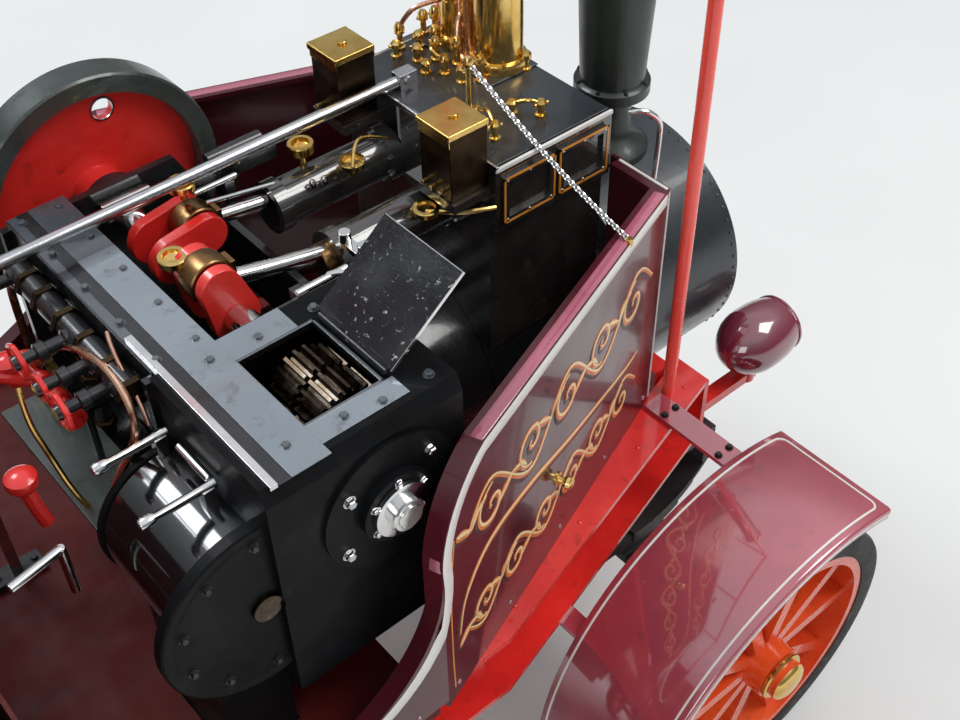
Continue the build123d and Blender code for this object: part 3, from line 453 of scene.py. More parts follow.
def ring(n, r, first=0.5):
    """n places on a circle of radius r, the first one that part of a step round."""
    return [(r * cos(turn(k + first, n)), r * sin(turn(k + first, n))) for k in range(n)]


def rivet(x, y, z, axis, r=1.8):
    shell(P(x, y, z), axis, [(0, r), (r * 0.45, r * 0.8), (r * 0.65, r * 0.4), (r * 0.72, 0)], 10)


def pipe(pts, r, res=6, sides=3):
    """Round pipe along a smooth route through millimetre places."""
    cu = bpy.data.curves.new("route", "CURVE")
    cu.dimensions = "3D"
    sp = cu.splines.new("NURBS")
    sp.points.add(len(pts) - 1)
    for p, q in zip(sp.points, pts):
        p.co = (*P(*q), 1)
    sp.order_u = 3
    sp.use_endpoint_u = True
    sp.resolution_u = res
    cu.bevel_depth = r / 1000
    cu.bevel_resolution = sides
    cu.use_fill_caps = True
    ob = bpy.data.objects.new("route", cu)
    bpy.context.scene.collection.objects.link(ob)
    me = bpy.data.meshes.new_from_object(ob.evaluated_get(bpy.context.evaluated_depsgraph_get()))
    bm.from_mesh(me)
    bpy.data.objects.remove(ob)
    bpy.data.curves.remove(cu)
    bpy.data.meshes.remove(me)


def ribbon(line, width, thick, taper=None):
    """A raised band of paint along a row of (point in metres, normal), its section in millimetres."""
    n = len(line)
    rows = []
    for i, (p, normal) in enumerate(line):
        t = (line[min(i + 1, n - 1)][0] - line[max(i - 1, 0)][0]).normalized()
        w = t.cross(normal.normalized()).normalized() * (width / 2000)
        if taper:
            w *= taper(i / (n - 1))
        h = normal.normalized() * (thick / 1000)
        rows.append([bm.verts.new(v) for v in (p + w, p + w * 0.8 + h, p - w * 0.8 + h, p - w)])
    loft(rows)


def smooth(pts, n):
    """Points on a smooth curve through flat places, n to each stretch."""
    out = []
    for i in range(len(pts) - 1):
        p0, p1, p2, p3 = (Vector(pts[min(max(i + k, 0), len(pts) - 1)]) for k in (-1, 0, 1, 2))
        for k in range(n):
            t = k / n
            out.append(0.5 * ((2 * p1) + (p2 - p0) * t + (2 * p0 - 5 * p1 + 4 * p2 - p3) * t * t
                              + (3 * p1 - p0 - 3 * p2 + p3) * t ** 3))
    out.append(Vector(pts[-1]))
    return [tuple(q) for q in out]


def arc(a, m, b, n=10):
    """n points on the arc from a (left out) through m to b, worked out in complex numbers."""
    a, m, b = complex(*a), complex(*m), complex(*b)
    w = (b - a) / (m - a)
    centre = a + (m - a) * (w - abs(w) ** 2) / (2j * w.imag)
    sweep = phase((b - centre) / (a - centre)) % (2 * pi)
    if w.imag < 0:
        sweep -= 2 * pi
    points = [centre + (a - centre) * rect(1, sweep * k / n) for k in range(1, n + 1)]
    return [(p.real, p.imag) for p in points]


# side panels: lining and ornament
def panel_point(s, u, v, proud=0.0):
    """Place u back along the splayed panel of side s and v above ground, with the outward normal."""
    along = Vector((-cos(SPLAY), s * sin(SPLAY), 0))
    out = Vector((sin(SPLAY), s * cos(SPLAY), 0))
    return P(PANEL_X, s * PANEL_Y, v) + along * (u / 1000) + out * (proud / 1000), out


def top_edge(i):
    """Top edge of a panel from the front corner to the break as (u, v), inset by i millimetres."""
    edge = [(u, PANEL_TOP - i) for u in (i, 60, 180, 284)]
    return edge + arc(edge[-1], (320 - i, 531.5 - i * 0.4), (LONG - i, 484))


def door_edge(i):
    """Edge of the doorway behind the break as (x, z), inset by i millimetres."""
    edge = arc((BREAK + i, 478), (-321 + i, 414 - i), (-372, 372 - i), 12)
    edge += arc((-372, 372 - i), (-450, 354 - i), (-528, 372 - i), 12)
    edge += arc((-528, 372 - i), (-566 - i * 0.8, 402 - i * 0.6), (-582 - i, 466))
    return edge + [(-582 - i, 520), (-582 - i, 588)]


def panel_lines(s, tag):
    line = [panel_point(s, u, v) for u, v in top_edge(6.4)]
    for x, z in door_edge(6.4):
        if x > BREAK:
            line.append(panel_point(s, LONG - (x - BREAK) / cos(SPLAY), z))
        else:
            line.append((P(x, s * WAIST_Y, z), Vector((0, s, 0))))
    ribbon(line, 10.6, 0.5)
    ribbon([panel_point(s, 2.4, v) for v in (551, 520, 480, 440, 400, 360, 336)], 2.2, 0.4)
    ribbon([(P(11.6, s * y, PANEL_TOP), UP) for y in (139, 126, 112, 98, 89)], 2.6, 0.4)
    piece("panel_line_" + tag, "white")
    upright = ((330, 345), (331, 380), (331, 420), (330, 460), (324, 500))
    ribbon([panel_point(s, u, v) for u, v in upright], 1.2, 0.35)
    piece("panel_fine_line_" + tag, "gold")
    # the top rail, in the pink of painted sunlight
    rail = [(9, PANEL_TOP)] + [q for q in top_edge(0) if q[0] > 9]
    back = (panel_point(s, 100, 500)[0] - panel_point(s, 0, 500)[0]).normalized()
    line = []
    for i, (u, v) in enumerate(rail):
        (u0, v0), (u1, v1) = rail[max(i - 1, 0)], rail[min(i + 1, len(rail) - 1)]
        line.append((panel_point(s, u, v, -5.2)[0], back * (v0 - v1) + UP * (u1 - u0)))
    ribbon(line, 8.6, 0.4)
    piece("panel_rail_" + tag, "rose")


def spiral(cx, cy, r0, turns, start, hand, n=34):
    out = []
    for k in range(n + 1):
        r = r0 * (1 - k / n) ** 1.15 + 1.6
        a = start + hand * turns * turn(k, n)
        out.append((cx + r * cos(a), cy + r * sin(a)))
    return out


def swell(low, more):
    """Taper of a stroke that is widest in the middle."""
    return lambda t: low + more * sin(pi * t)


def leaf(t):
    """Taper of a spiral, with a blunt inner end."""
    return 0.35 + 0.9 * sin(pi * min(1, t * 1.15)) ** 0.8 if t < 0.87 else 0.45


def scroll_row(draw, wide, v0, r, u0, u1, step):
    """A waving stem at height v0 with a spiral and two leaves to each wave."""
    count = int((u1 - u0) / step)
    waves = [(i, 1 if i % 2 == 0 else -1) for i in range(count + 1)]
    stem = [(u0 - step * 0.6, v0)] + [(u0 + step * i, v0 + up * r * 0.85) for i, up in waves]
    stem.append((u0 + step * (count + 0.6), v0))
    draw(smooth(stem, 9), wide * 0.9, swell(0.6, 0.5))
    for i, up in waves:
        draw(spiral(u0 + step * i, v0 - up * r * 0.12, r * 0.72, 1.35, pi / 2 * up, -up), wide, leaf)
        u = u0 + step * (i + 0.5)
        for angle, size in ((0.5, 0.55), (2.6, 0.6)):
            tip = u + cos(angle) * r * size * 1.4, v0 + up * sin(angle) * r * size * 1.5
            middle = (u + tip[0]) / 2 + 2.5 * up, (v0 + tip[1]) / 2 + 2
            draw(smooth([(u, v0), middle, tip], 6), wide * 1.25, swell(0.3, 1))


# each coat of the scrolls: material, shift up and back, height above the panel, width
COATS = (("shade", -2.4, 2, 0, 5.6), ("amber", 0, 0, 0.12, 5.2), ("cream", 1, -0.9, 0.26, 2.1))
SPRAY = ((40, 420), (68, 420), (153, 433), (224, 448), (280, 450), (312, 428), (322, 396))


def scrollwork(s, tag):
    """Plain running scrolls in gold, two rows and a long stroke, each with a dark shade line below it."""
    for mat, dv, du, proud, wide in COATS:
        def draw(pts, width, taper):
            ribbon([panel_point(s, u + du, v + dv, proud) for u, v in pts], width, 0.35, taper)

        scroll_row(draw, wide, 487, 27, 56, 276, 55)
        scroll_row(draw, wide, 391, 21, 66, 312, 44)
        draw(smooth(SPRAY, 10), wide * 1.05, swell(0.25, 1))
        piece("panel_scroll_%s_%s" % (mat, tag), mat)


for tag, s in SIDES:
    panel_lines(s, tag)
    scrollwork(s, tag)
    knob = [(0, 5.5), (1.2, 5.5), (1.6, 3), (5, 2.6), (6, 4.2), (8.5, 5.6), (11, 5.2), (12.6, 3.2), (13, 0)]
    lathe(*panel_point(s, 178, 409), knob, 24)
    piece("panel_knob_" + tag, "brass")
    for u in (14, 90, 170, 250, 325):
        shell(*panel_point(s, u, 345), [(0, 2.2), (1, 1.9), (1.5, 0.9), (1.6, 0)], 12)
    for x in (-330, -420, -520, -590):
        rivet(x, s * WAIST_Y, 346, (0, s, 0), 2)
    piece("panel_rivets_" + tag, "maroon")

# front mudguards: an arch over the wheel from A0 to A1, both angles from straight up
A0, A1 = radians(-88), radians(19)
GUARD = [(241, 200.2), (241, 202.2), (241.8, 203), (350, 203), (352.2, 202.2), (353, 200.2),
         (353, 193.6), (352.4, 193), (350.6, 193), (350, 193.6), (350, 200), (242, 200)]


def guard_point(a, r, y):
    return P(r * sin(a), y, FRONT_Z + r * cos(a))


def guard_line():
    """The white line round the top of a mudguard, as (angle, y)."""
    y0, y1, corner, n = 247, 345, 8, 48
    back, front, tip = A0 + 0.02, A1 - 0.075, A1 - 0.035
    bend = [pi / 2 * k / 6 for k in range(1, 7)]
    line = [(back + (front - back) * k / n, y0) for k in range(n + 1)]
    line += [(front + 0.04 * sin(t), y0 + corner * (1 - cos(t))) for t in bend]
    line += [(tip, y0 + corner + (y1 - y0 - 2 * corner) * k / 8) for k in range(1, 9)]
    line += [(tip - 0.04 * (1 - cos(t)), y1 - corner + corner * sin(t)) for t in bend]
    return line + [(front + (back - front) * k / n, y1) for k in range(1, n + 1)]


for tag, s in SIDES:
    arch = [A0 + (A1 - A0) * k / 72 for k in range(73)]
    loft([[bm.verts.new(guard_point(a, r, s * y)) for y, r in GUARD] for a in arch])
    box(2, 24, s * 146, s * 262, 332, 336)
    box(2, 24, s * 250, s * 262, 334, 344)
    box(-164, -146, s * 200, s * 300, 257, 262)
    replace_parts(piece("mudguard_" + tag, "guard", angle=50), "front_mudguard_" + tag)
    ribbon([(guard_point(a, 203, s * y), Vector((sin(a), 0, cos(a)))) for a, y in guard_line()], 1.9, 0.3)
    lip = [A0 + (A1 - A0) * k / 48 for k in range(49)]
    ribbon([(guard_point(a, 197.6, s * 353), Vector((0, s, 0))) for a in lip], 1.5, 0.3)
    piece("mudguard_line_" + tag, "white")
    for x in (6.5, 19.5):
        for y in (166, 226):
            bolt(x, s * y, 336, Z, 2.6, 2.6)
    piece("mudguard_bolts_" + tag, "iron")

# wheels and tyres: profiles as (distance from the lorry's middle, radius)
FRONT_TYRE = [
    (277, 120.4), (277, 138), (278.4, 141.6), (282, 143.6), (286, 144), (315, 144), (319, 143.6),
    (322.6, 141.6), (324, 138), (324, 126), (323, 120.4), (300, 120), (279, 120), (277, 120.4)]
SHOULDER = [(0, 157), (0, 167), (1.4, 170.6), (5, 172.6), (9, 173)]
REAR_TYRE = SHOULDER + [(40 - w, r) for w, r in reversed(SHOULDER)] + [(38, 156.9), (2, 156.9), (0, 157)]


def hub(end, x, z, s, tag, cap, bolts, y, r, h):
    """Brass cap and a ring of bolts on a wheel of the front or rear end."""
    wheel = "%s_wheel_%s" % (end, tag)
    for pts in cap:
        shell(P(x, 0, z), (0, s, 0), pts, 32)
    piece("hub_cap_%s_%s" % (end, tag), "brass", wheel)
    for c, up in ring(10, bolts):
        bolt(x + c, s * y, z + up, (0, s, 0), r, h)
    piece("hub_bolts_%s_%s" % (end, tag), "iron", wheel)


for tag, s in SIDES:
    side = (0, s, 0)
    shell(P(0, 0, FRONT_Z), side, FRONT_TYRE, 96)
    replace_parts(piece("tyre_front_" + tag, "rubber", "front_wheel_" + tag), "front_tyre_" + tag)
    cap = [(341, 19), (343.5, 17.6), (345.6, 13.5), (346.4, 8), (346.6, 0)]
    collar = [(330.2, 22.5), (331.8, 23.6), (334, 23.6), (335.4, 22.2), (335.4, 19.1)]
    hub("front", 0, FRONT_Z, s, tag, (cap, collar), 18.92, 330, 1.8, 2)
    for y in (264, 310):
        shell(P(REAR_X, 0, REAR_Z), side, [(y + w, r) for w, r in REAR_TYRE], 96)
    shell(P(REAR_X, 0, REAR_Z), side, [(303, 157), (303, 160), (311, 160), (311, 157), (303, 157)], 96)
    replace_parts(piece("tyre_rear_" + tag, "rubber", "rear_wheel_" + tag), "rear_tyre_" + tag)
    cap = [(354, 25), (357, 24.6), (361, 21), (363, 14), (363.4, 0)]
    hub("rear", REAR_X, REAR_Z, s, tag, (cap,), 29, 354, 2.2, 2.4)

# headlamps
LAMPS = [P(0, s * LAMP_Y, LAMP_Z) for tag, s in SIDES]
LAMP_SHELL = [
    (104, 0), (105, 5), (107.5, 10.5), (112, 17), (118, 22.6), (126, 27.4), (135, 30.2), (144, 31),
    (154, 30.8), (164, 29.8), (172, 27.6), (176, 26.6), (178, 26.2), (178, 22.5), (170, 21.5), (170, 0)]
LAMP_RIM = [(174.8, 26.9), (175.4, 27.6), (177.4, 27.6), (178, 26.9), (178, 23), (177, 22.6), (174.8, 26.9)]
for lamp in LAMPS:
    shell(lamp, X, LAMP_SHELL, 48)
for tag, s in SIDES:
    disc(LAMP_X, s * LAMP_Y, 290, Z, 6, 8, 20)
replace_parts(piece("lamp_shells", "maroon", angle=40), "headlamps")
for lamp in LAMPS:
    shell(lamp, X, LAMP_RIM, 48)
piece("lamp_rims", "maroon")
for lamp in LAMPS:
    shell(lamp, X, [(173, 22.5), (174.6, 18), (175.8, 11), (176.4, 5), (176.6, 0)], 40)
piece("lamp_lenses", "lens")
for tag, s in SIDES:
    for y, z in ((130, 296), (130, 318), (154, 318)):
        bolt(69, s * y, z, X, 2.4, 2.6)
    nut(LAMP_X, s * LAMP_Y, 280, NZ, 5.5, 5)
    shell(P(LAMP_X, s * LAMP_Y, 292), Z, [(0, 6.2), (1.6, 7.6), (3.6, 7.6), (5, 6.2)], 20)
piece("lamp_nuts", "steel")

# chimney and smokebox trim
STACK = [
    (480, 34), (488, 34), (494, 29), (499, 21.6), (506, 18.4), (520, 17.2), (534, 17), (539.6, 18),
    (540.4, 31.2), (541.2, 32), (550, 32), (551, 31.2), (552.4, 27.6), (556, 27.2), (700, 34.6), (800, 39.6),
    (872, 43.4), (879, 44.4), (883, 49), (885, 50), (897, 50), (899.4, 48.8), (901.6, 45), (902, 43),
    (901.4, 39.4), (880, 37.8), (700, 28.8), (562, 22), (553, 15), (550, 11), (487.5, 11), (480, 34)]
shell(P(CHIMNEY_X, 0, 0), Z, STACK, 80)
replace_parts(piece("chimney_barrel", "chimney", angle=32), "chimney")
for c, h in ring(8, 29.4):
    bolt(CHIMNEY_X + c, h, 551, Z, 1.7, 1.8)
piece("chimney_bolts", "iron")
shell(P(CHIMNEY_X, 0, 0), Z, [(886.5, 50), (887, 50.6), (895.5, 50.6), (896, 50)], 80)
piece("chimney_cap_band", "brass")
for x, lowest in ((33, -61), (145, -112)):
    for c, h in ring(60, 111.9, 0):
        if h > lowest:
            rivet(x, c, BOILER_Z + h, (0, c, h), 1.7)
for c, h in ring(14, 101):
    if c < 90 and abs(h) < 100:
        bolt(150, c, BOILER_Z + h, X, 2.2, 2.2)
piece("smokebox_rivets", "smoke")
disc(171.5, 0, BOILER_Z, X, 10, 3.5, 28)
shell(P(184, 0, BOILER_Z), X, [(-6, 4.5), (-2, 4.5), (0, 3), (0, 0)], 20)
for tag, s in SIDES:
    lathe(P(179, s * 22, BOILER_Z), (0, s, 0), [(-2, 3.2), (0.5, 4.6), (3, 4.8), (5, 3.2), (5.4, 0)], 16)
piece("smokebox_dart", "bright", "smokebox_door")

# flywheel: a rim, and a flat web with a round hole in it
crank = P(CRANK_X, 0, CRANK_Z)
RIM = [
    (119, 80.6), (119, 93.4), (120.4, 95), (144.6, 95), (146, 93.4), (146, 82), (144.6, 80.4), (136, 79.4),
    (128, 79.4), (120.4, 80), (119, 80.6)]
BOSS = [
    (111, 11.2), (111, 19.4), (111.6, 20), (129, 20), (129.4, 23), (130, 24.4), (134, 24.4), (134.8, 23),
    (135.4, 20), (147.4, 20), (148, 19.4), (148, 11.2)]
shell(crank, Y, RIM, 128)
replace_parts(piece("flywheel_rim", "rim"), "flywheel")
HOLE_X, HOLE_Z = 17, 62
outlines = []
for x, z, r, seg in ((0, 0, 80.2, 96), (0, 0, 11.3, 40), (HOLE_X, HOLE_Z, 8, 32)):
    vs = [bm.verts.new(P(CRANK_X + x + c, 129.2, CRANK_Z + z + h)) for c, h in ring(seg, r, 0)]
    outlines += [bm.edges.new((vs[k], vs[(k + 1) % seg])) for k in range(seg)]
bmesh.ops.triangle_fill(bm, use_beauty=True, use_dissolve=False, edges=outlines)
for v in bmesh.ops.extrude_face_region(bm, geom=bm.faces[:])["geom"]:
    if isinstance(v, bmesh.types.BMVert):
        v.co.y += 0.0056
shell(crank, Y, BOSS, 48)
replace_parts(piece("flywheel_web", "red", angle=30), "flywheel")
disc(CRANK_X, 148, CRANK_Z, Y, 10.6, 1.8, 32)
nut(CRANK_X, 149, CRANK_Z, Y, 6, 0.9)
shell(P(CRANK_X + HOLE_X, 128.9, CRANK_Z + HOLE_Z), Y, [(0, 9.6), (-0.6, 9.2), (-0.6, 8), (0, 7.9)], 32)
piece("flywheel_nut", "bright")

# crankshaft and motion
ROD = 100                            # length of a connecting rod
CRANKS = ((38, 15), (-38, 105))      # y of each crank, and its angle in degrees


def crank_pin(deg):
    """x and z of a crank pin, and the x of its crosshead."""
    x, z = CRANK_X + THROW * cos(radians(deg)), CRANK_Z + THROW * sin(radians(deg))
    return x, z, x + sqrt(ROD ** 2 - (z - CYL_Z) ** 2)


for y0, y1 in ((57, 150), (-20, 20), (-184, -57)):
    disc(CRANK_X, y0, CRANK_Z, Y, 11, y1 - y0, 40, 0.8)
for y, deg in CRANKS:
    px, pz, sx = crank_pin(deg)
    disc(px, y - 11, pz, Y, 9, 22, 32)
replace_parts(piece("crank_shaft_round", "bright"), "crankshaft")
half = [-pi / 2 + pi * k / 16 for k in range(17)]
outline = [(-18 * cos(t), -18 * sin(t)) for t in half] + [(THROW + 15 * cos(t), 15 * sin(t)) for t in half]
for y, deg in CRANKS:
    c, h = cos(radians(deg)), sin(radians(deg))
    flat = [(CRANK_X + u * c - v * h, CRANK_Z + u * h + v * c) for u, v in outline]
    for w in (y - 19, y + 10):
        loft([[bm.verts.new(P(x, face, z)) for x, z in flat] for face in (w, w + 9)])
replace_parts(piece("crank_webs", "red", bevel=0.9), "crankshaft")
shell(P(OUT_X, -238, OUT_Z), NY, [(-10, 19), (-9.4, 20), (-6.4, 20), (-6, 17), (-6, 12)], 40)
disc(OUT_X, -238, OUT_Z, NY, 8.5, 1.4, 32)
piece("shaft_collar", "bright")
for x, z in ((-341, 550), (-346, 505), (-271, 504), (-281, 552)):
    bolt(x, -222, z, NY, 3.4, 3.6)
for c, h in ring(6, 21.5):
    bolt(OUT_X + c, -228, OUT_Z + h, NY, 2, 2.2)
piece("bearing_bolts", "steel")

# connecting rods: bronze big ends, crossheads in the guides, bright round shanks
BIG_END = [(-9, 9.3), (-9, 15.6), (-8, 16.6), (-5.4, 17), (5.4, 17), (8, 16.6), (9, 15.6), (9, 9.3)]
for y, deg in CRANKS:
    px, pz, sx = crank_pin(deg)
    shell(P(px, y, pz), Y, BIG_END, 40)
    box(px + 9, px + 19, y - 6.4, y + 6.4, pz - 7.4, pz + 7.4)
    shell(P(sx, y, CYL_Z), X, [(-10, 0), (-10, 12.4), (-9, 13.5), (25, 13.5), (26, 12.4), (26, 0)], 36)
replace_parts(piece("rod_ends", "bronze", bevel=0.5), "connecting_rods")
for (y, deg), aside, drop, end in zip(CRANKS, (0, 3), (0, 9), (554, 560)):
    px, pz, sx = crank_pin(deg)
    z = pz - drop
    pipe([(px + 4, y + aside, z), ((px + sx) / 2, y, (z + end) / 2), (sx, y, end)], 6, 8, 5)
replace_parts(piece("rod_shanks", "bright"), "connecting_rods")

# oil cups and pipes of the engine
CUPS = ((-283, 43, 592, 14), (-328, -21, 591, 14), (-163, 12, 570, 14), (-149, -56, 561, 12),
        (-228, 70, 560, 30), (-183, 47, 571, 19))
for x, y, z, h in CUPS:
    lathe(P(x, y, z - 2), Z, [(0, 2.8), (h * 0.35, 2.8), (h * 0.45, 6.2), (h * 0.6, 9.6), (h * 0.95, 10.2),
                              (h, 9.6), (h, 6.8), (h * 0.82, 6), (h * 0.7, 0)], 32)
pipe([(-163, 12, 574), (-164, 20, 573), (-165, 28, 566)], 2.4)
piece("oil_cups", "brass")
pipe([(-149, -56, 567), (-140, -70, 570), (-128, -82, 571), (-112, -88, 570)], 2.2)
pipe([(-173, -4, 588), (-165, 6, 597), (-150, 14, 597), (-130, 12, 585)], 1.4)
pipe([(-446, -20, 560), (-452, -36, 548), (-450, -52, 530), (-446, -60, 498), (-440, -62, 478)], 2)
piece("brass_pipes", "brass")
pipe([(-426, 12, 542), (-421, 1, 560), (-408, -9, 567), (-406, -46, 584), (-406, -78, 590), (-408, -100, 584),
      (-410, -106, 568), (-415, -103, 550), (-429, -100, 530), (-440, -98, 505), (-440, -97, 480)], 2.7, 10)
pipe([(-391, -46, 592), (-396, -60, 589), (-398, -92, 569), (-400, -99, 558)], 1.5)
pipe([(-404, 66, 574), (-404, 82, 560), (-404, 86, 520), (-404, 84, 470), (-404, 70, 440)], 3)
pipe([(-404, 20, 540), (-420, 26, 530), (-424, 30, 505), (-416, 32, 480), (-404, 32, 462)], 2.4)
piece("copper_pipes", "copper")
pipe([(59, -52, 556), (66, -60, 560), (80, -66, 548), (87, -62, 528), (86, -60, 478)], 2.4, 8)
piece("smokebox_pipe", "bright")

# valve gear
disc(-278, 36, 595, X, 2, 34, 16)
disc(-272, 33, 586, (0.95, -0.25, 0), 1.6, 50, 16)
disc(-283, -93, 591, X, 3, 40, 16)
pipe([(-258, -92, 592), (-250, -96, 594), (-247, -101, 593)], 2.4)
disc(-219, -56, 578, Z, 4.6, 8, 20)
disc(-217, -75, 576, Z, 4.6, 9, 20)
box(-222, -214, -78, -54, 573, 578)
for x, y in ((-192, 22), (-183, 20), (-130, -20)):
    lathe(P(x, y, 566), Z, [(0, 2.6), (5, 2.6), (6.5, 1.6), (7, 0)], 16)
disc(-327, 84, 574, X, 8.4, 38, 28)
piece("valve_rods", "bright", bevel=0.4)
box(-268, -196, 60, 66, 575, 590)
box(-246, -238, 52, 68, 560, 596)
disc(-252, 63, 596, X, 5, 46, 20)
box(-284, -276, -97, -86, 584, 592)
piece("valve_blocks", "black", bevel=1)

# reach rod of the reversing gear
REACH_Y, REACH_Z = 38, 608.5
disc(-476, REACH_Y, REACH_Z, X, 4.6, 386, 24)
for x in (-476, -92):
    box(x - 8, x + 8, REACH_Y - 5.5, REACH_Y + 5.5, 602, 615)
disc(-92, 31, REACH_Z, Y, 4, 14, 20)
lathe(P(-480, REACH_Y, 688), Z, [(0, 4), (2, 6.6), (18, 7.4), (34, 6.4), (38, 3), (38.4, 0)], 24)
box(-484, -476, REACH_Y - 3.5, REACH_Y + 3.5, 346, 690)
box(-96, -88, REACH_Y - 3.5, REACH_Y + 3.5, 556, 606)
box(-500, -460, 30, 46, 340, 346)
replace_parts(piece("reach_rod", "steel", bevel=0.7), "reversing_gear")

# crank cover and gear case
for y in (-88, -44, 0, 44, 88):
    for x in (-353.5, -381):
        bolt(x, y, DECK_Z, Z, 2.6, 2.2)
for x, y in ((-357, -110), (-362, -197), (-324, -200), (-324, -112), (-300, -205), (-266, -112),
             (-266, -205), (-283, -112)):
    bolt(x, y, DECK_Z, Z, 2.9, 2.4)
piece("deck_bolts", "deck")
box(-372.5, -345.5, -218, 26, DECK_Z, 593)
box(-347.2, -283, -209, -192, DECK_Z, 592.7)
box(-347.2, -300, -120, -97, DECK_Z, 592.7)
piece("deck_strip", "pale", bevel=0.3)
box(-372.5, -345.5, 26, 98, DECK_Z, 592.9)
piece("deck_strip_end", "deck", bevel=0.3)
# a thin flat black strip, as painted shade of the groove behind the deck strip
box(-381, -372.8, -218, 98, DECK_Z, 592.5)
piece("deck_groove_painted_shade", "black")
box(-389.2, -387.6, -96, 96, 566, 592.6)
piece("deck_rear_face", "black", bevel=0.4)
# a bright steel strip along the rear top edge, as painted highlight on the rounded edge
box(-386.5, -381.4, -218, -60, 591, 594.4)
piece("deck_edge_painted_highlight", "bright", bevel=0.3)
for x0, x1, y0, y1 in ((-347, -345, -192, -120), (-291, -289, -192, -120),
                       (-347, -289, -192, -190), (-347, -289, -122, -120)):
    box(x0, x1, y0, y1, 591.5, 592.9)
piece("hatch_rim", "deck", bevel=0.4)


# gear train
def gear(x, y, z, r, width, teeth, depth, bore):
    """Spur gear with its axis along y, from y on."""
    pitch = turn(1, teeth)
    edge = [(rr, (k + f) * pitch) for k in range(teeth)
            for f, rr in ((-0.34, r - depth), (-0.16, r), (0.16, r), (0.34, r - depth))]
    rims = []
    for face, inner in ((y, False), (y + width, False), (y + width, True), (y, True)):
        flat = [(bore if inner else rr, a) for rr, a in edge]
        rims.append([bm.verts.new(P(x + rr * cos(a), face, z + rr * sin(a))) for rr, a in flat])
    loop(rims)


for y in (-178, -152):
    gear(CRANK_X, y, CRANK_Z, 25, 22, 22, 4.2, 11.2)
gear(DRUM_X, -152, DRUM_Z, 44, 20, 36, 4.4, 10.2)
disc(DRUM_X, -216, DRUM_Z, Y, 10, 115, 36)
gear(OUT_X, -209, OUT_Z, 22, 12, 20, 4, 12.2)
disc(SMALL_X, -120, SMALL_Z, Y, 9, 16, 28)
gear(SMALL_X, -117, SMALL_Z, 26, 8, 13, 4.5, 9)
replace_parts(piece("gear_train", "tooth", angle=30), "gears")
disc(OUT_X, -238, OUT_Z, Y, 12, 41, 40, 0.8)
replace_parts(piece("out_shaft", "bright"), "gears")

# lid of the gear case, which stands open at an angle
TILT = radians(38)
HINGE = (-285, -156, 595)


def lid_point(u, v, w):
    """Place u out from the lid's hinge, v along it and w above the plate."""
    out, up = Vector((cos(TILT), 0, sin(TILT))), Vector((-sin(TILT), 0, cos(TILT)))
    return P(*HINGE) + out * (u / 1000) + Vector(Y) * (v / 1000) + up * (w / 1000)


def lid_box(u0, u1, v0, v1, w0, w1):
    corners((u0, u1), (v0, v1), (w0, w1), lid_point)


lid_box(2.2, 73.8, -36.8, 36.8, -0.2, 1.8)
for u0, u1, v0, v1 in ((2, 74, -37, -35.2), (2, 74, 35.2, 37), (72.2, 74, -37, 37), (-1, 5, -27, -13),
                       (-1, 5, 13, 27)):
    lid_box(u0, u1, v0, v1, -0.3, 1.9)
disc(-285, -190, 595, Y, 2.6, 68, 20)
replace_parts(piece("lid_plate", "grease", "gear_hatch_lid", bevel=0.4), "gear_hatch_lid")
# thin bright steel strips on two edges of the lid, as painted highlights
lid_box(73.7, 74.2, -37, 37, -0.2, 1.95)
lid_box(2, 74, -37.2, -36.8, -0.2, 1.95)
piece("lid_edge_painted_highlight", "bright", "gear_hatch_lid")

# drum behind the gear case
drum = P(DRUM_X, 0, DRUM_Z)
shell(drum, NY, [(105.4, 49), (105.4, 51.4), (106, 52), (110, 52), (110.6, 51.4), (110.6, 49)], 80)
shell(drum, NY, [(198, 49), (198, 51.4), (198.6, 52), (205, 52)], 80)
shell(drum, NY, [(204.6, 68), (205.4, 69.8), (212.6, 69.8), (213.6, 68.4), (213.6, 62), (213, 61)], 96)
piece("drum_bands", "case")
shell(drum, NY, [(110.6, 49.5), (110.8, 50.2), (197.8, 50.2), (198, 49.5)], 96)
piece("drum_skin", "gloss")
for c, h in ring(10, 56):
    if c < 25:
        bolt(DRUM_X + c, -213, DRUM_Z + h, NY, 2.4, 2.6)
piece("drum_bolts", "iron")

# gear levers
for y in (-166, -112):
    lathe(P(-445, y, 560), X, [(0, 0), (0.6, 3), (3, 4.2), (9, 4.2), (11, 2.9), (44, 2.9), (50, 3.4)], 20)
    box(DRUM_X - 4, DRUM_X + 4, y - 4, y + 4, 544.2, 560)
disc(DRUM_X + 5, -162, 560, Y, 2.8, 34, 16)
disc(-514, -124, 520, (0.98, 0.19, 0), 3.2, 37, 16)
disc(-478, -117, 480, Z, 3.2, 42, 16)
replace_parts(piece("lever_rods", "bright", bevel=0.5), "gear_levers")

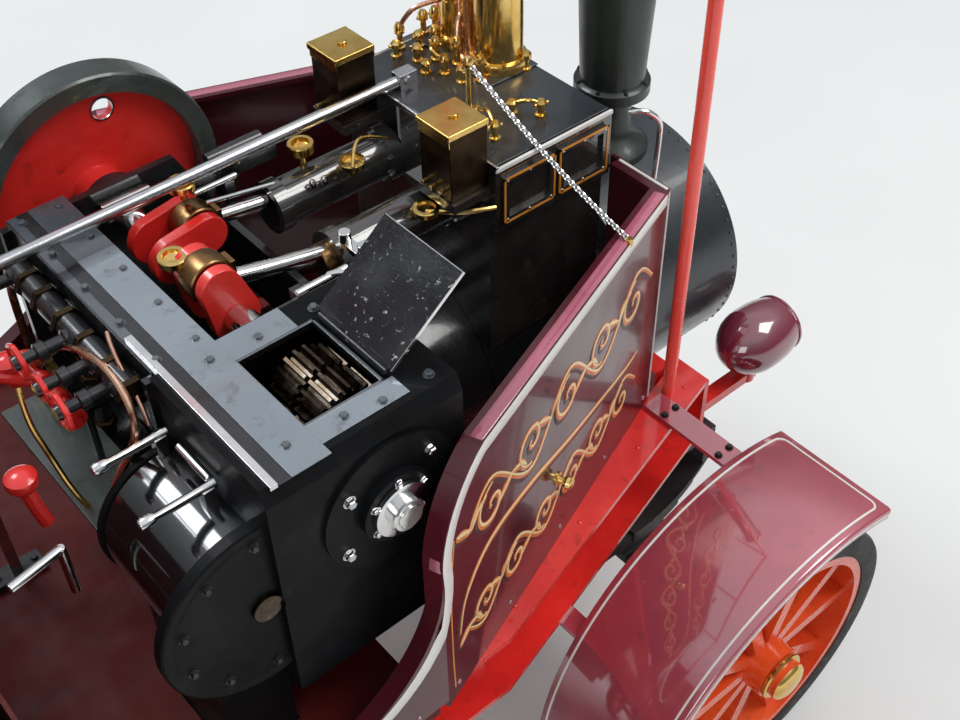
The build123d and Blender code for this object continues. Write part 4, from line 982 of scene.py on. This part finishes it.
# cylinder block
box(-111, 2, -88.2, -85.8, 597.8, 601.2)
piece("block_edge_line", "white", bevel=0.5)
box(-108, 0, -85, 88, 600, 602.4)
box(-46, 1, -8, 78, 602.4, 604)
piece("block_top_plate", "smoke", bevel=0.8)
box(-111, -108.6, -88, 88, 599, 603)
box(-111, 2, 85.6, 88, 599, 603)
piece("block_top_edges", "steel", bevel=0.5)
COVER_X, COVER_Z = (-81, -28), 572
for x in COVER_X:
    for dx in (-21, 0, 21):
        for dz in (-17, 17):
            rivet(x + dx, -90, COVER_Z + dz, NY, 1.4)
for y in (-38, 38):
    for c, h in ring(8, 18.9):
        nut(-122, y + c, CYL_Z + h, NX, 1.9, 2.4)
piece("block_studs", "steel")
for x in COVER_X:
    for w, e, y in ((24.5, 19.5, -90.5), (17.5, 13.4, -86.8)):
        for z0, z1 in ((e - 1.5, e), (-e, 1.5 - e)):
            box(x - w, x + w, y, y + 0.8, COVER_Z + z0, COVER_Z + z1)
        for x0, x1 in ((-w, 1.5 - w), (w - 1.5, w)):
            box(x + x0, x + x1, y, y + 0.8, COVER_Z - e, COVER_Z + e)
piece("block_fine_lines", "gold")

# drain and oil cocks on the block: place and height, each handle turned at random
COCKS = ((-88, -60, 15), (-84, -34, 13), (-58, -44, 12), (-44, -60, 14), (-34, 88, 20), (-30, 78, 26),
         (-40, 66, 18), (-50, 74, 14), (-62, 82, 22), (-52, 50, 20), (-44, 34, 24), (-64, 58, 15),
         (-60, 30, 17), (-46, 4, 22), (-58, 12, 15), (-10, -6, 16), (-4, 86, 22), (-72, 74, 14),
         (-70, 40, 12), (-6, 44, 26), (-16, 82, 30))
random.seed(11)
for x, y, h in COCKS:
    lathe(P(x, y, BLOCK_Z), Z, [(0, 4.4), (2.4, 4.4), (2.8, 2.4), (h * 0.6, 2.4), (h * 0.64, 4.2),
                                (h * 0.86, 4.2), (h, 2.6), (h, 0)], 20)
    a = random.uniform(0, 6.28)
    disc(x - 6 * cos(a), y - 6 * sin(a), BLOCK_Z + h * 0.75, (cos(a), sin(a), 0), 1.4, 12, 12)
pipe([(-88, -60, 614), (-84, -50, 618), (-82, -42, 617), (-84, -34, 612)], 1.6)
pipe([(-58, -44, 611), (-54, -52, 616), (-48, -58, 616), (-44, -60, 612)], 1.6)
pipe([(-52, 50, 616), (-62, 44, 622), (-66, 36, 620), (-60, 30, 614)], 1.6)
pipe([(-46, 4, 618), (-52, 0, 625), (-60, 4, 622), (-58, 12, 614)], 1.6)
piece("block_cocks", "brass")

# oil boxes
for tag, s in SIDES:
    box(-147, -111.3, s * 45.5, s * 81.5, 636, 641)
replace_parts(piece("oil_box_lids", "brass", bevel=0.9), "lubricators")
for tag, s in SIDES:
    box(-145, -112, s * 47, s * 80, 585, 636)
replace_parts(piece("oil_box_bodies", "oldbrass", bevel=0.8), "lubricators")
for tag, s in SIDES:
    for x in (-145.6, -111.8):
        box(x, x + 0.8, s * 47, s * 80, 630, 635.4)
    disc(-128, s * 63, 641, Z, 3.6, 2.2, 20)
    for y in (54, 63, 72):
        disc(-150, s * y, 592, X, 1.8, 5, 12)
piece("oil_box_trim", "brass")

# safety valve columns: place, radius of the foot and of the top, height
for x, y, foot, r, top in ((-20, 14, 23, 19, 690), (-24, 60, 16, 12, 664)):
    lathe(P(x, y, 0), Z, [(604, foot), (610, foot), (612, foot - 1), (613, r), (top - 22, r),
                          (top - 20, r + 1.4), (top - 14, r + 3), (top - 7, r + 3), (top - 5, r + 1),
                          (top - 3, r), (top, r - 2), (top, r - 5), (top - 3, r - 5.4), (top - 3, 0)], 56)
    for c, h in ring(6, foot - 2.2, 0):
        nut(x + c, y + h, 611, Z, 1.9, 2.6)
lathe(P(-20, 14, 690), Z, [(-3, 6), (2, 6), (3, 3), (4, 0)], 24)
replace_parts(piece("valve_columns", "brass", angle=30), "safety_valves")
COLUMN = [(0, 11), (4, 11), (5, 7.6), (70, 7.6), (72, 9), (84, 9), (86, 7), (90, 7), (90, 0)]
lathe(P(-30, 38, BLOCK_Z), Z, COLUMN, 36)
pipe([(-4, 44, 625), (-6, 40, 640), (-10, 38, 655), (-10, 36, 668)], 2.4)
pipe([(-62, 82, 620), (-58, 76, 634), (-48, 70, 640), (-34, 66, 640)], 2)
pipe([(-44, 34, 622), (-42, 36, 632), (-38, 38, 640), (-34, 38, 642)], 2)
piece("valve_copper", "copper")

# thin safety chain across the engine, held at both ends
CHAIN_TOP, CHAIN_END, LINKS = P(-88, -32, 652), P(-53, -162, 554.5), 58


def hang(t):
    """Place on the chain, t of the way along."""
    return CHAIN_TOP.lerp(CHAIN_END, min(1, t)) - UP * (0.024 * t * (1 - t))


for k in range(LINKS):
    t = (k + 0.5) / LINKS
    d = (hang(t + 0.01) - hang(t)).normalized()
    side = d.cross(UP).normalized()
    across = side if k % 2 else side.cross(d).normalized()
    link = []
    for a in (turn(j, 10) for j in range(10)):
        c = hang(t) + d * (0.0026 * cos(a)) + across * (0.0018 * sin(a))
        link.append((c, (d * cos(a) + across * sin(a)).normalized()))
    torus(link, d.cross(across).normalized(), 0.0007, 5)
piece("safety_chain", "bright")
STUD = [(0, 6), (3, 6), (4, 2.6), (44, 2.3), (46, 3.6), (51, 4.2), (54, 2.6), (55, 0)]
lathe(P(-88, -32, BLOCK_Z), Z, STUD, 20)
disc(-53, -163, 549, Z, 2.8, 7, 16)
piece("chain_studs", "brass")

# backhead: handwheels with a wavy rim, y and radius of each
MANIFOLD_Z = 574
VALVES = ((-70, 14), (-44, 11), (-14, 14), (64, 12))
axis, u, w = axis_frame(NX)
for y, r in VALVES:
    c = P(-439, y, MANIFOLD_Z)
    spine = []
    for t in (turn(k, 36) for k in range(36)):
        out = u * cos(t) + w * sin(t)
        wave = 1 - 0.045 * (1 + cos(6 * t))
        spine.append((c + out * ((r - 2) * wave / 1000), out))
    torus(spine, axis, 0.002, 8)
    for cx, cy in ring(4, 1):
        lathe(c, u * cx + w * cy, [(0, 1.6), (r - 2, 1.4)], 8)
pipe([(-427, 24, 540), (-426, -2, 541), (-425, -30, 541), (-428, -50, 540)], 5.2)
pipe([(-426, -4, 541), (-440, 2, 548), (-452, 10, 552)], 4.4)
for y in (22, -4, -26, -46):
    lathe(P(-426, y, 540.5), Y, [(-3, 5), (-3, 7.4), (3, 7.4), (3, 5)], 20)
pipe([(-475, -71, 540), (-474, -72, 520), (-470, -74, 500)], 5)
lathe(P(-475, -71, 534), Z, [(0, 4), (1, 9), (4, 10.5), (9, 10), (12, 6), (13, 0)], 24)
lathe(P(-439, 11, 556), Z, [(-20, 4), (-4, 4), (-3, 9), (2, 9.6), (5, 6), (6, 0)], 24)
piece("valve_wheels", "red")

# manifold, water gauges and shelf
for y in (-84, -58, -28, 0, 28, 50, 76):
    nut(-399, y - 3, MANIFOLD_Z, Y, 11.4, 6)
for z in (476, 520, 562):
    nut(-394, 0, z, Z, 8.4, 6)
piece("manifold_nuts", "oldbrass", bevel=0.4)
disc(-399, -84, MANIFOLD_Z, Y, 9, 160, 36)
disc(-394, 0, 467, Z, 5.8, 109, 28)
SPINDLE = [
    (0, 7), (8, 7), (9, 4.4), (20, 4.4), (21, 6.2), (27, 6.2), (28, 4), (38, 4), (40, 5.4), (43, 4.6),
    (43, 0)]
PLUG = [(0, 9), (3, 9), (4, 6), (26, 6), (27, 8), (29, 12), (33, 12), (34.6, 10.6), (34.6, 0)]
for y, r in VALVES:
    lathe(P(BACK_X, y, MANIFOLD_Z), NX, SPINDLE, 24)
for y, z in ((-66, 430), (66, 430), (0, 446)):
    lathe(P(BACK_X, y, z), NX, PLUG, 28)
for y in (-34, 34):
    for z, axis, r, h, seg in ((452, Z, 4.6, 8, 20), (526, Z, 4.6, 8, 20), (450, Z, 2.6, 84, 16),
                               (456, X, 3, 16, 16), (530, X, 3, 18, 16)):
        disc(-414, y, z, axis, r, h, seg)
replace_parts(piece("manifold", "black", angle=30), "backhead_fittings")
box(-500.5, -459.5, 29.5, 46.5, 340.1, 346.5)
for x in (-495, -465):
    bolt(x, REACH_Y, 346.5, Z, 2.6, 2)
piece("reversing_foot", "iron", bevel=0.5)
box(-446, BACK_X, -88, 54, 476, 480)
box(-406, BACK_X, -66, -22, 434, 476)
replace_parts(piece("backhead_shelf", "shelf", bevel=0.8), "backhead_fittings")

# pressure gauge: case, face, marks from the left round to the right, and a hand
GAUGE_Y, GAUGE_Z = 44, 500


def gauge_place(x, across, up):
    return P(x, GAUGE_Y + across, GAUGE_Z + up), Vector(NX)


GAUGE_CASE = [(0, 17), (8, 17), (10, 19), (14, 19), (15, 17.6), (13, 16), (12.6, 0)]
lathe(P(-404, GAUGE_Y, GAUGE_Z), NX, GAUGE_CASE, 48)
piece("gauge_case", "brass")
shell(P(-416.8, GAUGE_Y, GAUGE_Z), NX, [(0, 16), (0.3, 0)], 40)
piece("gauge_face", "white")
for k in range(11):
    a = radians(-130 + 26 * k)
    ribbon([gauge_place(-417.3, r * sin(a), r * cos(a)) for r in (12, 14.6)], 0.7, 0.25)
ribbon([gauge_place(-417.4, -2, -3), gauge_place(-417.4, 7, 10)], 1.2, 0.5)
piece("gauge_marks", "black")

# boiler bands and horn plate bolts
for x in (-200, -116, 8):
    shell(P(x, 0, BOILER_Z), X, [(0, 92), (0, 93.2), (9, 93.2), (9, 92)], 96)
piece("boiler_bands", "black")
HORN = [(-385, z) for z in (320, 380, 440, 500, 560)]
HORN += [(-252, 330), (-244, 400), (-240, 460), (-246, 520), (-340, 312), (-296, 312)]
for x, z in HORN:
    bolt(x, 98, z, Y, 2.8, 2.6)
    if z < 460 and x > -320:
        bolt(x, -98, z, NY, 2.8, 2.6)
piece("horn_bolts", "black")

# rivets along the frame rails: their inner sides, and their tops ahead of the cab
for tag, s in SIDES:
    for i in range(30):
        rivet(-280 - 52 * i, s * 208, 300, (0, -s, 0), 2)
    for x in (50, -30, -120, -210):
        rivet(x - 4, s * (148 + (64 - x) * 84 / 299), 332, Z, 2)
piece("rail_rivets", "red")

# load bed
PLANKS = 9
PLANK = 2 * BED_Y / PLANKS
for i in range(PLANKS):
    y = PLANK * i - BED_Y
    box(BED_X0, BED_X1, y + 0.5, y + PLANK - 0.5, BED_Z0 + 1, BED_Z1)
for i in range(3):
    z = BED_Z1 + 54.6 * i
    box(BED_X1, BED_X1 + 12, -BED_Y, BED_Y, z + 0.4, z + 54.2)
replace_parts(piece("bed_planks", "wood", bevel=1.2), "bed_floor")
box(BED_X0, BED_X1 + 12, -BED_Y, BED_Y, BED_Z0, BED_Z0 + 1.4)
box(-621, -611, -354.5, 354.5, BED_Z1, 559.5)
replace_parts(piece("bed_under", "wood"), "bed_floor")
LEAVES = ((-25, -20.3), (20.3, 25))
for tag, s in SIDES:
    for x in HINGE_X:
        box(x - 25, x + 25, s * 335, s * BED_Y, 377, BED_Z0)
        for x0, x1 in LEAVES:
            box(x + x0, x + x1, s * 350, s * 367.7, 377, 383.7)
        disc(x - 25, s * 367, 383, X, 1.5, 50, 14, 0.2)
for y in HINGE_Y:
    box(BED_X0, -1853.3, y - 25, y + 25, 377, BED_Z0)
    for y0, y1 in LEAVES:
        box(-1874.7, -1853.3, y + y0, y + y1, 377, 383.7)
    disc(-1874, y - 25, 383, Y, 1.5, 50, 14, 0.2)
for y in (-300, 0, 300):
    box(-609.9, -608, y - 12, y + 12, 386, 556)
    box(-624, BED_X1, y - 12, y + 12, BED_Z1, 556)
for k in range(7):
    for i in range(PLANKS):
        rivet(-640 - 200 * k, PLANK * (i + 0.5) - BED_Y, BED_Z1, Z, 2.6)
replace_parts(piece("bed_irons", "iron"), "bed_floor")

# side boards and tailboard: two planks each, hinge eyes, straps with rivets, and end irons
BOARDS = ((BED_Z0, 434.6), (435.4, 486))
EYE = [(0, 1.6), (0, 3), (40, 3), (40, 1.6)]
STRAP_RIVETS = (396, 420, 446, 468)
for tag, s in SIDES:
    board = "side_board_" + tag
    for z0, z1 in BOARDS:
        box(-1860, -624, s * 356, s * 366, z0, z1)
    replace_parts(piece("board_planks_" + tag, "wood", board, bevel=1.1), board)
    for x in HINGE_X:
        shell(P(x - 20, s * 367, 383), X, EYE, 20)
        box(x - 14, x + 14, s * 366, s * 368.2, BED_Z0, 476)
        for z in STRAP_RIVETS:
            rivet(x, s * 368.2, z, (0, s, 0), 2.4)
    for x in (-1860, -636):
        box(x, x + 12, s * 366, s * 368, 386, 485)
    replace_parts(piece("board_irons_" + tag, "iron", board), board)
for z0, z1 in BOARDS:
    box(-1873, -1863, -354, 354, z0, z1)
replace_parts(piece("tail_planks", "wood", "tailboard", bevel=1.1), "tailboard")
for y in HINGE_Y:
    shell(P(-1874, y - 20, 383), Y, EYE, 20)
    box(-1875.4, -1873, y - 14, y + 14, BED_Z0, 476)
    for z in STRAP_RIVETS:
        shell(P(-1875, y, z), NX, [(0, 2.4), (0.6, 1.8), (0.95, 0)], 10)
for y in (-354, 342):
    box(-1875.2, -1873, y, y + 12, 386, 485)
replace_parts(piece("tail_irons", "iron", "tailboard"), "tailboard")

# drive chain: rollers and side plates, from the small sprocket to the one on the rear axle
CHAIN_Y, PITCH = -113, 12.7
SMALL_R, LARGE_R = 29, 81
run = atan2(REAR_Z - SMALL_Z, REAR_X - SMALL_X)
lap = acos((SMALL_R - LARGE_R) / hypot(REAR_X - SMALL_X, REAR_Z - SMALL_Z))


def on_small(a):
    return Vector((SMALL_X + SMALL_R * cos(a), 0, SMALL_Z + SMALL_R * sin(a)))


def on_large(a):
    return Vector((REAR_X + LARGE_R * cos(a), 0, REAR_Z + LARGE_R * sin(a)))


path = [on_small(run + lap)] + [on_large(run + lap - 2 * lap * k / 16) for k in range(17)]
path += [on_small(run - lap - 2 * (pi - lap) * k / 8) for k in range(8)]
strokes = list(zip(path, path[1:] + path[:1]))
total = sum((b - a).length for a, b in strokes)
count = 2 * int(total / PITCH / 2)


def chain_point(dist):
    """Place on the chain, that far along it."""
    dist = dist % total
    for a, b in strokes:
        length = (b - a).length
        if dist <= length:
            return a + (b - a) * (dist / length)
        dist -= length
    return path[0]


for k in range(count):
    a, b = chain_point(total * k / count), chain_point(total * (k + 1) / count)
    disc(a.x, CHAIN_Y - 5.4, a.z, Y, 2.3, 10.8, 10, 0.2)
    t = (b - a).normalized()
    n = Vector((-t.z, 0, t.x)) * 2.8
    t = t * 2.6
    plate = (a - t + n, b + t + n, b + t - n, a - t - n)
    near = 4.2 if k % 2 else 2.9
    for y0 in (-near - 1, near):
        loft([[bm.verts.new(P(v.x, CHAIN_Y + y, v.z)) for v in plate] for y in (y0, y0 + 1)])
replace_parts(piece("roller_chain", "iron", angle=30), "drive_chain")

# steering wheel with a rounded rim, on a column that leans back
LEAN = radians(6)
FOOT = (-508, 190, 340)
column = Vector((-sin(LEAN), 0, cos(LEAN)))
foot = P(*FOOT)
STEERING_RIM = [
    (262, 46), (262.6, 45.2), (265.5, 44.8), (268.4, 45.2), (269, 46), (269, 51), (268, 52), (263, 52),
    (262, 51), (262, 46)]
shell(foot, column, STEERING_RIM, 64)
axis, u, w = axis_frame(column)
for c, h in ring(4, 1, 0):
    lathe(foot + column * 0.2655, u * c + w * h, [(8, 3.2), (46, 2.4)], 12)
shell(foot, column, [(250, 5.1), (250, 10), (262, 10), (262.4, 11), (269, 11), (270, 8), (270, 5.1)], 28)
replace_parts(piece("steering_rim", "brass", "steering_wheel"), "steering_wheel")
nut(*(Vector(FOOT) + column * 279), column, 6, 4)
piece("steering_nut", "steel")

# coal in the bunker, and step treads
random.seed(7)
for k in range(150):
    c = P(random.uniform(-590, -555), random.uniform(-225, 84), random.uniform(430, 444))
    r = random.uniform(0.006, 0.012)
    for v in bmesh.ops.create_icosphere(bm, subdivisions=1, radius=r)["verts"]:
        v.co = v.co * random.uniform(0.75, 1.15) + c
piece("coal", "iron", angle=15)
for tag, s in SIDES:
    for i in range(6):
        box(-466 + 13 * i, -462 + 13 * i, s * 246, s * 294, 206, 207.4)
piece("step_treads", "steel", bevel=0.4)

# stage
scene = bpy.context.scene
floor_me = bpy.data.meshes.new("floor")
floor_me.from_pydata([(-9, -9, 0), (9, -9, 0), (9, 9, 0), (-9, 9, 0)], [], [(0, 1, 2, 3)])
floor = bpy.data.objects.new("floor", floor_me)
scene.collection.objects.link(floor)
m, nt, bsdf = nodes_of("floor_pale")
n = noise(nt, 1.4, 3, 0.5, coords(nt))
pale = ramp(nt, n, [(0.35, (0.74, 0.74, 0.72)), (0.65, (0.78, 0.78, 0.76))])
nt.links.new(pale, bsdf.inputs["Base Color"])
nt.links.new(span(nt, n, 0.85, 0.95), bsdf.inputs["Roughness"])
floor_me.materials.append(m)

# studio light: a sky that brightens upward, and three lamps
world = bpy.data.worlds.new("studio")
scene.world = world
world.use_nodes = True
sky = world.node_tree
bg = next(n for n in sky.nodes if n.type == "BACKGROUND")
tc = sky.nodes.new("ShaderNodeTexCoord")
sep = sky.nodes.new("ShaderNodeSeparateXYZ")
sky.links.new(tc.outputs["Generated"], sep.inputs["Vector"])
grad = ramp(sky, sep.outputs["Z"], [(0, (0.22, 0.22, 0.21)), (0.2, (0.28, 0.29, 0.3)),
                                    (0.5, (0.6, 0.63, 0.67)), (0.72, (1.25, 1.3, 1.38))])
sky.links.new(grad, bg.inputs["Color"])
bg.inputs["Strength"].default_value = 0.62


def area(name, place, target, size, power, colour):
    li = bpy.data.lights.new(name, "AREA")
    li.size = size
    li.energy = power
    li.color = colour
    ob = bpy.data.objects.new(name, li)
    ob.location = place
    ob.rotation_euler = (Vector(target) - Vector(place)).to_track_quat("-Z", "Y").to_euler()
    scene.collection.objects.link(ob)


area("key", (2.2, -1.4, 3.2), (0.4, 0, 0.4), 1.6, 55, (1, 0.98, 0.95))
area("sky_fill", (-0.25, 2.06, 3.29), (0.2, 0, 0.4), 1.2, 50, (0.9, 0.95, 1))
area("rear_fill", (-2.6, -2.2, 1.8), (0, 0, 0.4), 1.6, 22, (1, 1, 1))

# the photo's camera: place, direction in radians, and focal length in pixels of a 960 wide picture
STAND = (0.2561, -0.642, 1.1297)
YAW, DIP, ROLL, FOCAL = 0.877, 0.77, -0.02, 1297.1
ahead = Vector((cos(DIP) * cos(YAW), cos(DIP) * sin(YAW), -sin(DIP)))
right = ahead.cross(UP).normalized()
above = right.cross(ahead)
right, above = right * cos(ROLL) + above * sin(ROLL), above * cos(ROLL) - right * sin(ROLL)
cam_data = bpy.data.cameras.new("camera")
cam_data.sensor_fit = "HORIZONTAL"
cam_data.sensor_width = 36
cam_data.lens = FOCAL / 960 * 36
cam = bpy.data.objects.new("camera", cam_data)
cam.matrix_world = Matrix.Translation(STAND) @ Matrix((right, above, -ahead)).transposed().to_4x4()
scene.collection.objects.link(cam)
scene.camera = cam
scene.view_settings.view_transform = "Standard"
